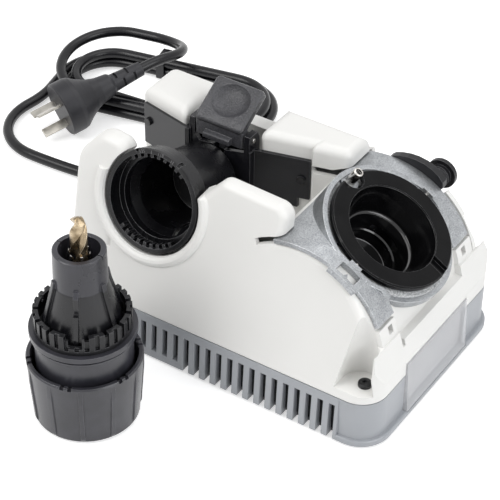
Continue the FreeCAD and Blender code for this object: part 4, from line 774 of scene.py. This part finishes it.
quarter = np.radians([75.0, 45.0, 15.0])
first = np.column_stack([-HALF_RUN - START_R / CORNER * np.sin(quarter),
                         START_MIDDLE + START_R / CORNER * np.cos(quarter), [Z1] * 3])
hank_route = np.vstack([
    first, straight(OUT_FAR, Z1, Z1, 1), half_turn(1, OUT_FAR, OUT_NEAR, Z1, Z1),
    straight(OUT_NEAR, Z1, Z1, -1), half_turn(-1, OUT_NEAR, IN_FAR, Z1, Z1),
    straight(IN_FAR, Z1, Z1, 1), half_turn(1, IN_FAR, IN_NEAR, Z1, Z1),
    straight(IN_NEAR, Z1, Z2, -1), half_turn(-1, IN_NEAR, IN_FAR, Z2, Z2),
    straight(IN_FAR, Z2, Z2, 1), half_turn(1, IN_FAR, OUT_NEAR, Z2, Z2),
    straight(OUT_NEAR, Z2, Z2, -1), half_turn(-1, OUT_NEAR, TOP_FAR, Z2, Z3)])
print("hank: %d control points" % len(hank_route))

# %% [markdown]
# The lead comes to the hank in a wide bend. It could be fitted by eye, but it is walked backwards from the
# hank's start, in runs with a turn after each, because the start and its direction are known. The tail climbs
# over the hank to the plug's neck.

# %% Lead and tail
LEAD = [(-0.135, 0.052, 0.014), (-0.149, 0.0517, 0.0132), (-0.166, 0.0508, 0.0076), (-0.188, 0.049, 0.0039)]
BEND = [(24.0, -24.0), (26.0, 34.0), (24.0, 34.0), (24.0, 34.0), (26.0, 4.0)]  # run in mm, turn in degrees
ON_TABLE = CORD_D / 2 + 0.00005
PLUG, PLUG_TURN, PLUG_RISE = np.array([-0.231, 0.0895, 0.0207]), math.radians(63.4), math.radians(13.0)
NECK_OUT, NECK_IN = 0.0711, 0.058
CLIMB = [(-0.0356, TOP_FAR, Z3), (-0.0237, TOP_FAR, Z3), (-0.0077, 0.0398, 0.0229), (0.0023, 0.027, 0.0288),
         (0.0034, 0.0104, 0.0338)]


def lead_bend():
    """The swing to the left, walked back from the hank's start: each step goes back along the heading, then
    turns."""
    spot = hank_point(HANK_START)[0]
    heading, walked = 90.0 + HANK_DEGREES, []
    for k, (run, turn_by) in enumerate(BEND):
        a = math.radians(heading)
        spot = spot - MM * run * np.array([math.cos(a), math.sin(a), 0.0])
        spot[2] = Z1 if k == 0 else ON_TABLE
        walked.append(spot)
        heading += turn_by
    return walked[::-1]


def plug_point(t):
    """A point on the plug's axis, t metres from its middle towards the neck."""
    d = np.array([math.cos(PLUG_TURN) * math.cos(PLUG_RISE), math.sin(PLUG_TURN) * math.cos(PLUG_RISE),
                  math.sin(PLUG_RISE)])
    return PLUG + t * d


tail = np.vstack([hank_point(CLIMB), plug_point(NECK_OUT), plug_point(NECK_IN)])
route = np.vstack([LEAD, lead_bend(), hank_point(HANK_START), hank_point(hank_route), tail]) + MACHINE
print("route: %d control points" % len(route))

# %% [markdown]
# A circle could be carried along the route ring by ring, but a curve with a bevel depth does that by itself,
# with closed ends. It stands for the three pieces of lead in the model, which are joined end to end there.

# %% Draw the lead
def smooth_line(name, points, radius):
    """Quadratic spline with the points as controls, from the first to the last, and a round section."""
    curve = bpy.data.curves.new(name, "CURVE")
    curve.dimensions = "3D"
    spline = curve.splines.new("NURBS")
    spline.points.add(len(points) - 1)
    spline.points.foreach_set("co", np.column_stack([points, np.ones(len(points))]).ravel())
    spline.order_u = 3
    spline.use_endpoint_u = True
    curve.resolution_u, curve.bevel_depth, curve.bevel_resolution = 6, radius, 5
    curve.use_fill_caps = True
    line = bpy.data.objects.new(name, curve)
    scene.collection.objects.link(line)
    return line


lead = smooth_line("mains_lead", route, CORD_D / 2)
lead.data.materials.append(FINISHES["rubber"])
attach(lead, "housing")
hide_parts("cord_lead", "cord_hank", "cord_tail")
print("lead: %.1f mm thick" % (CORD_D / MM))
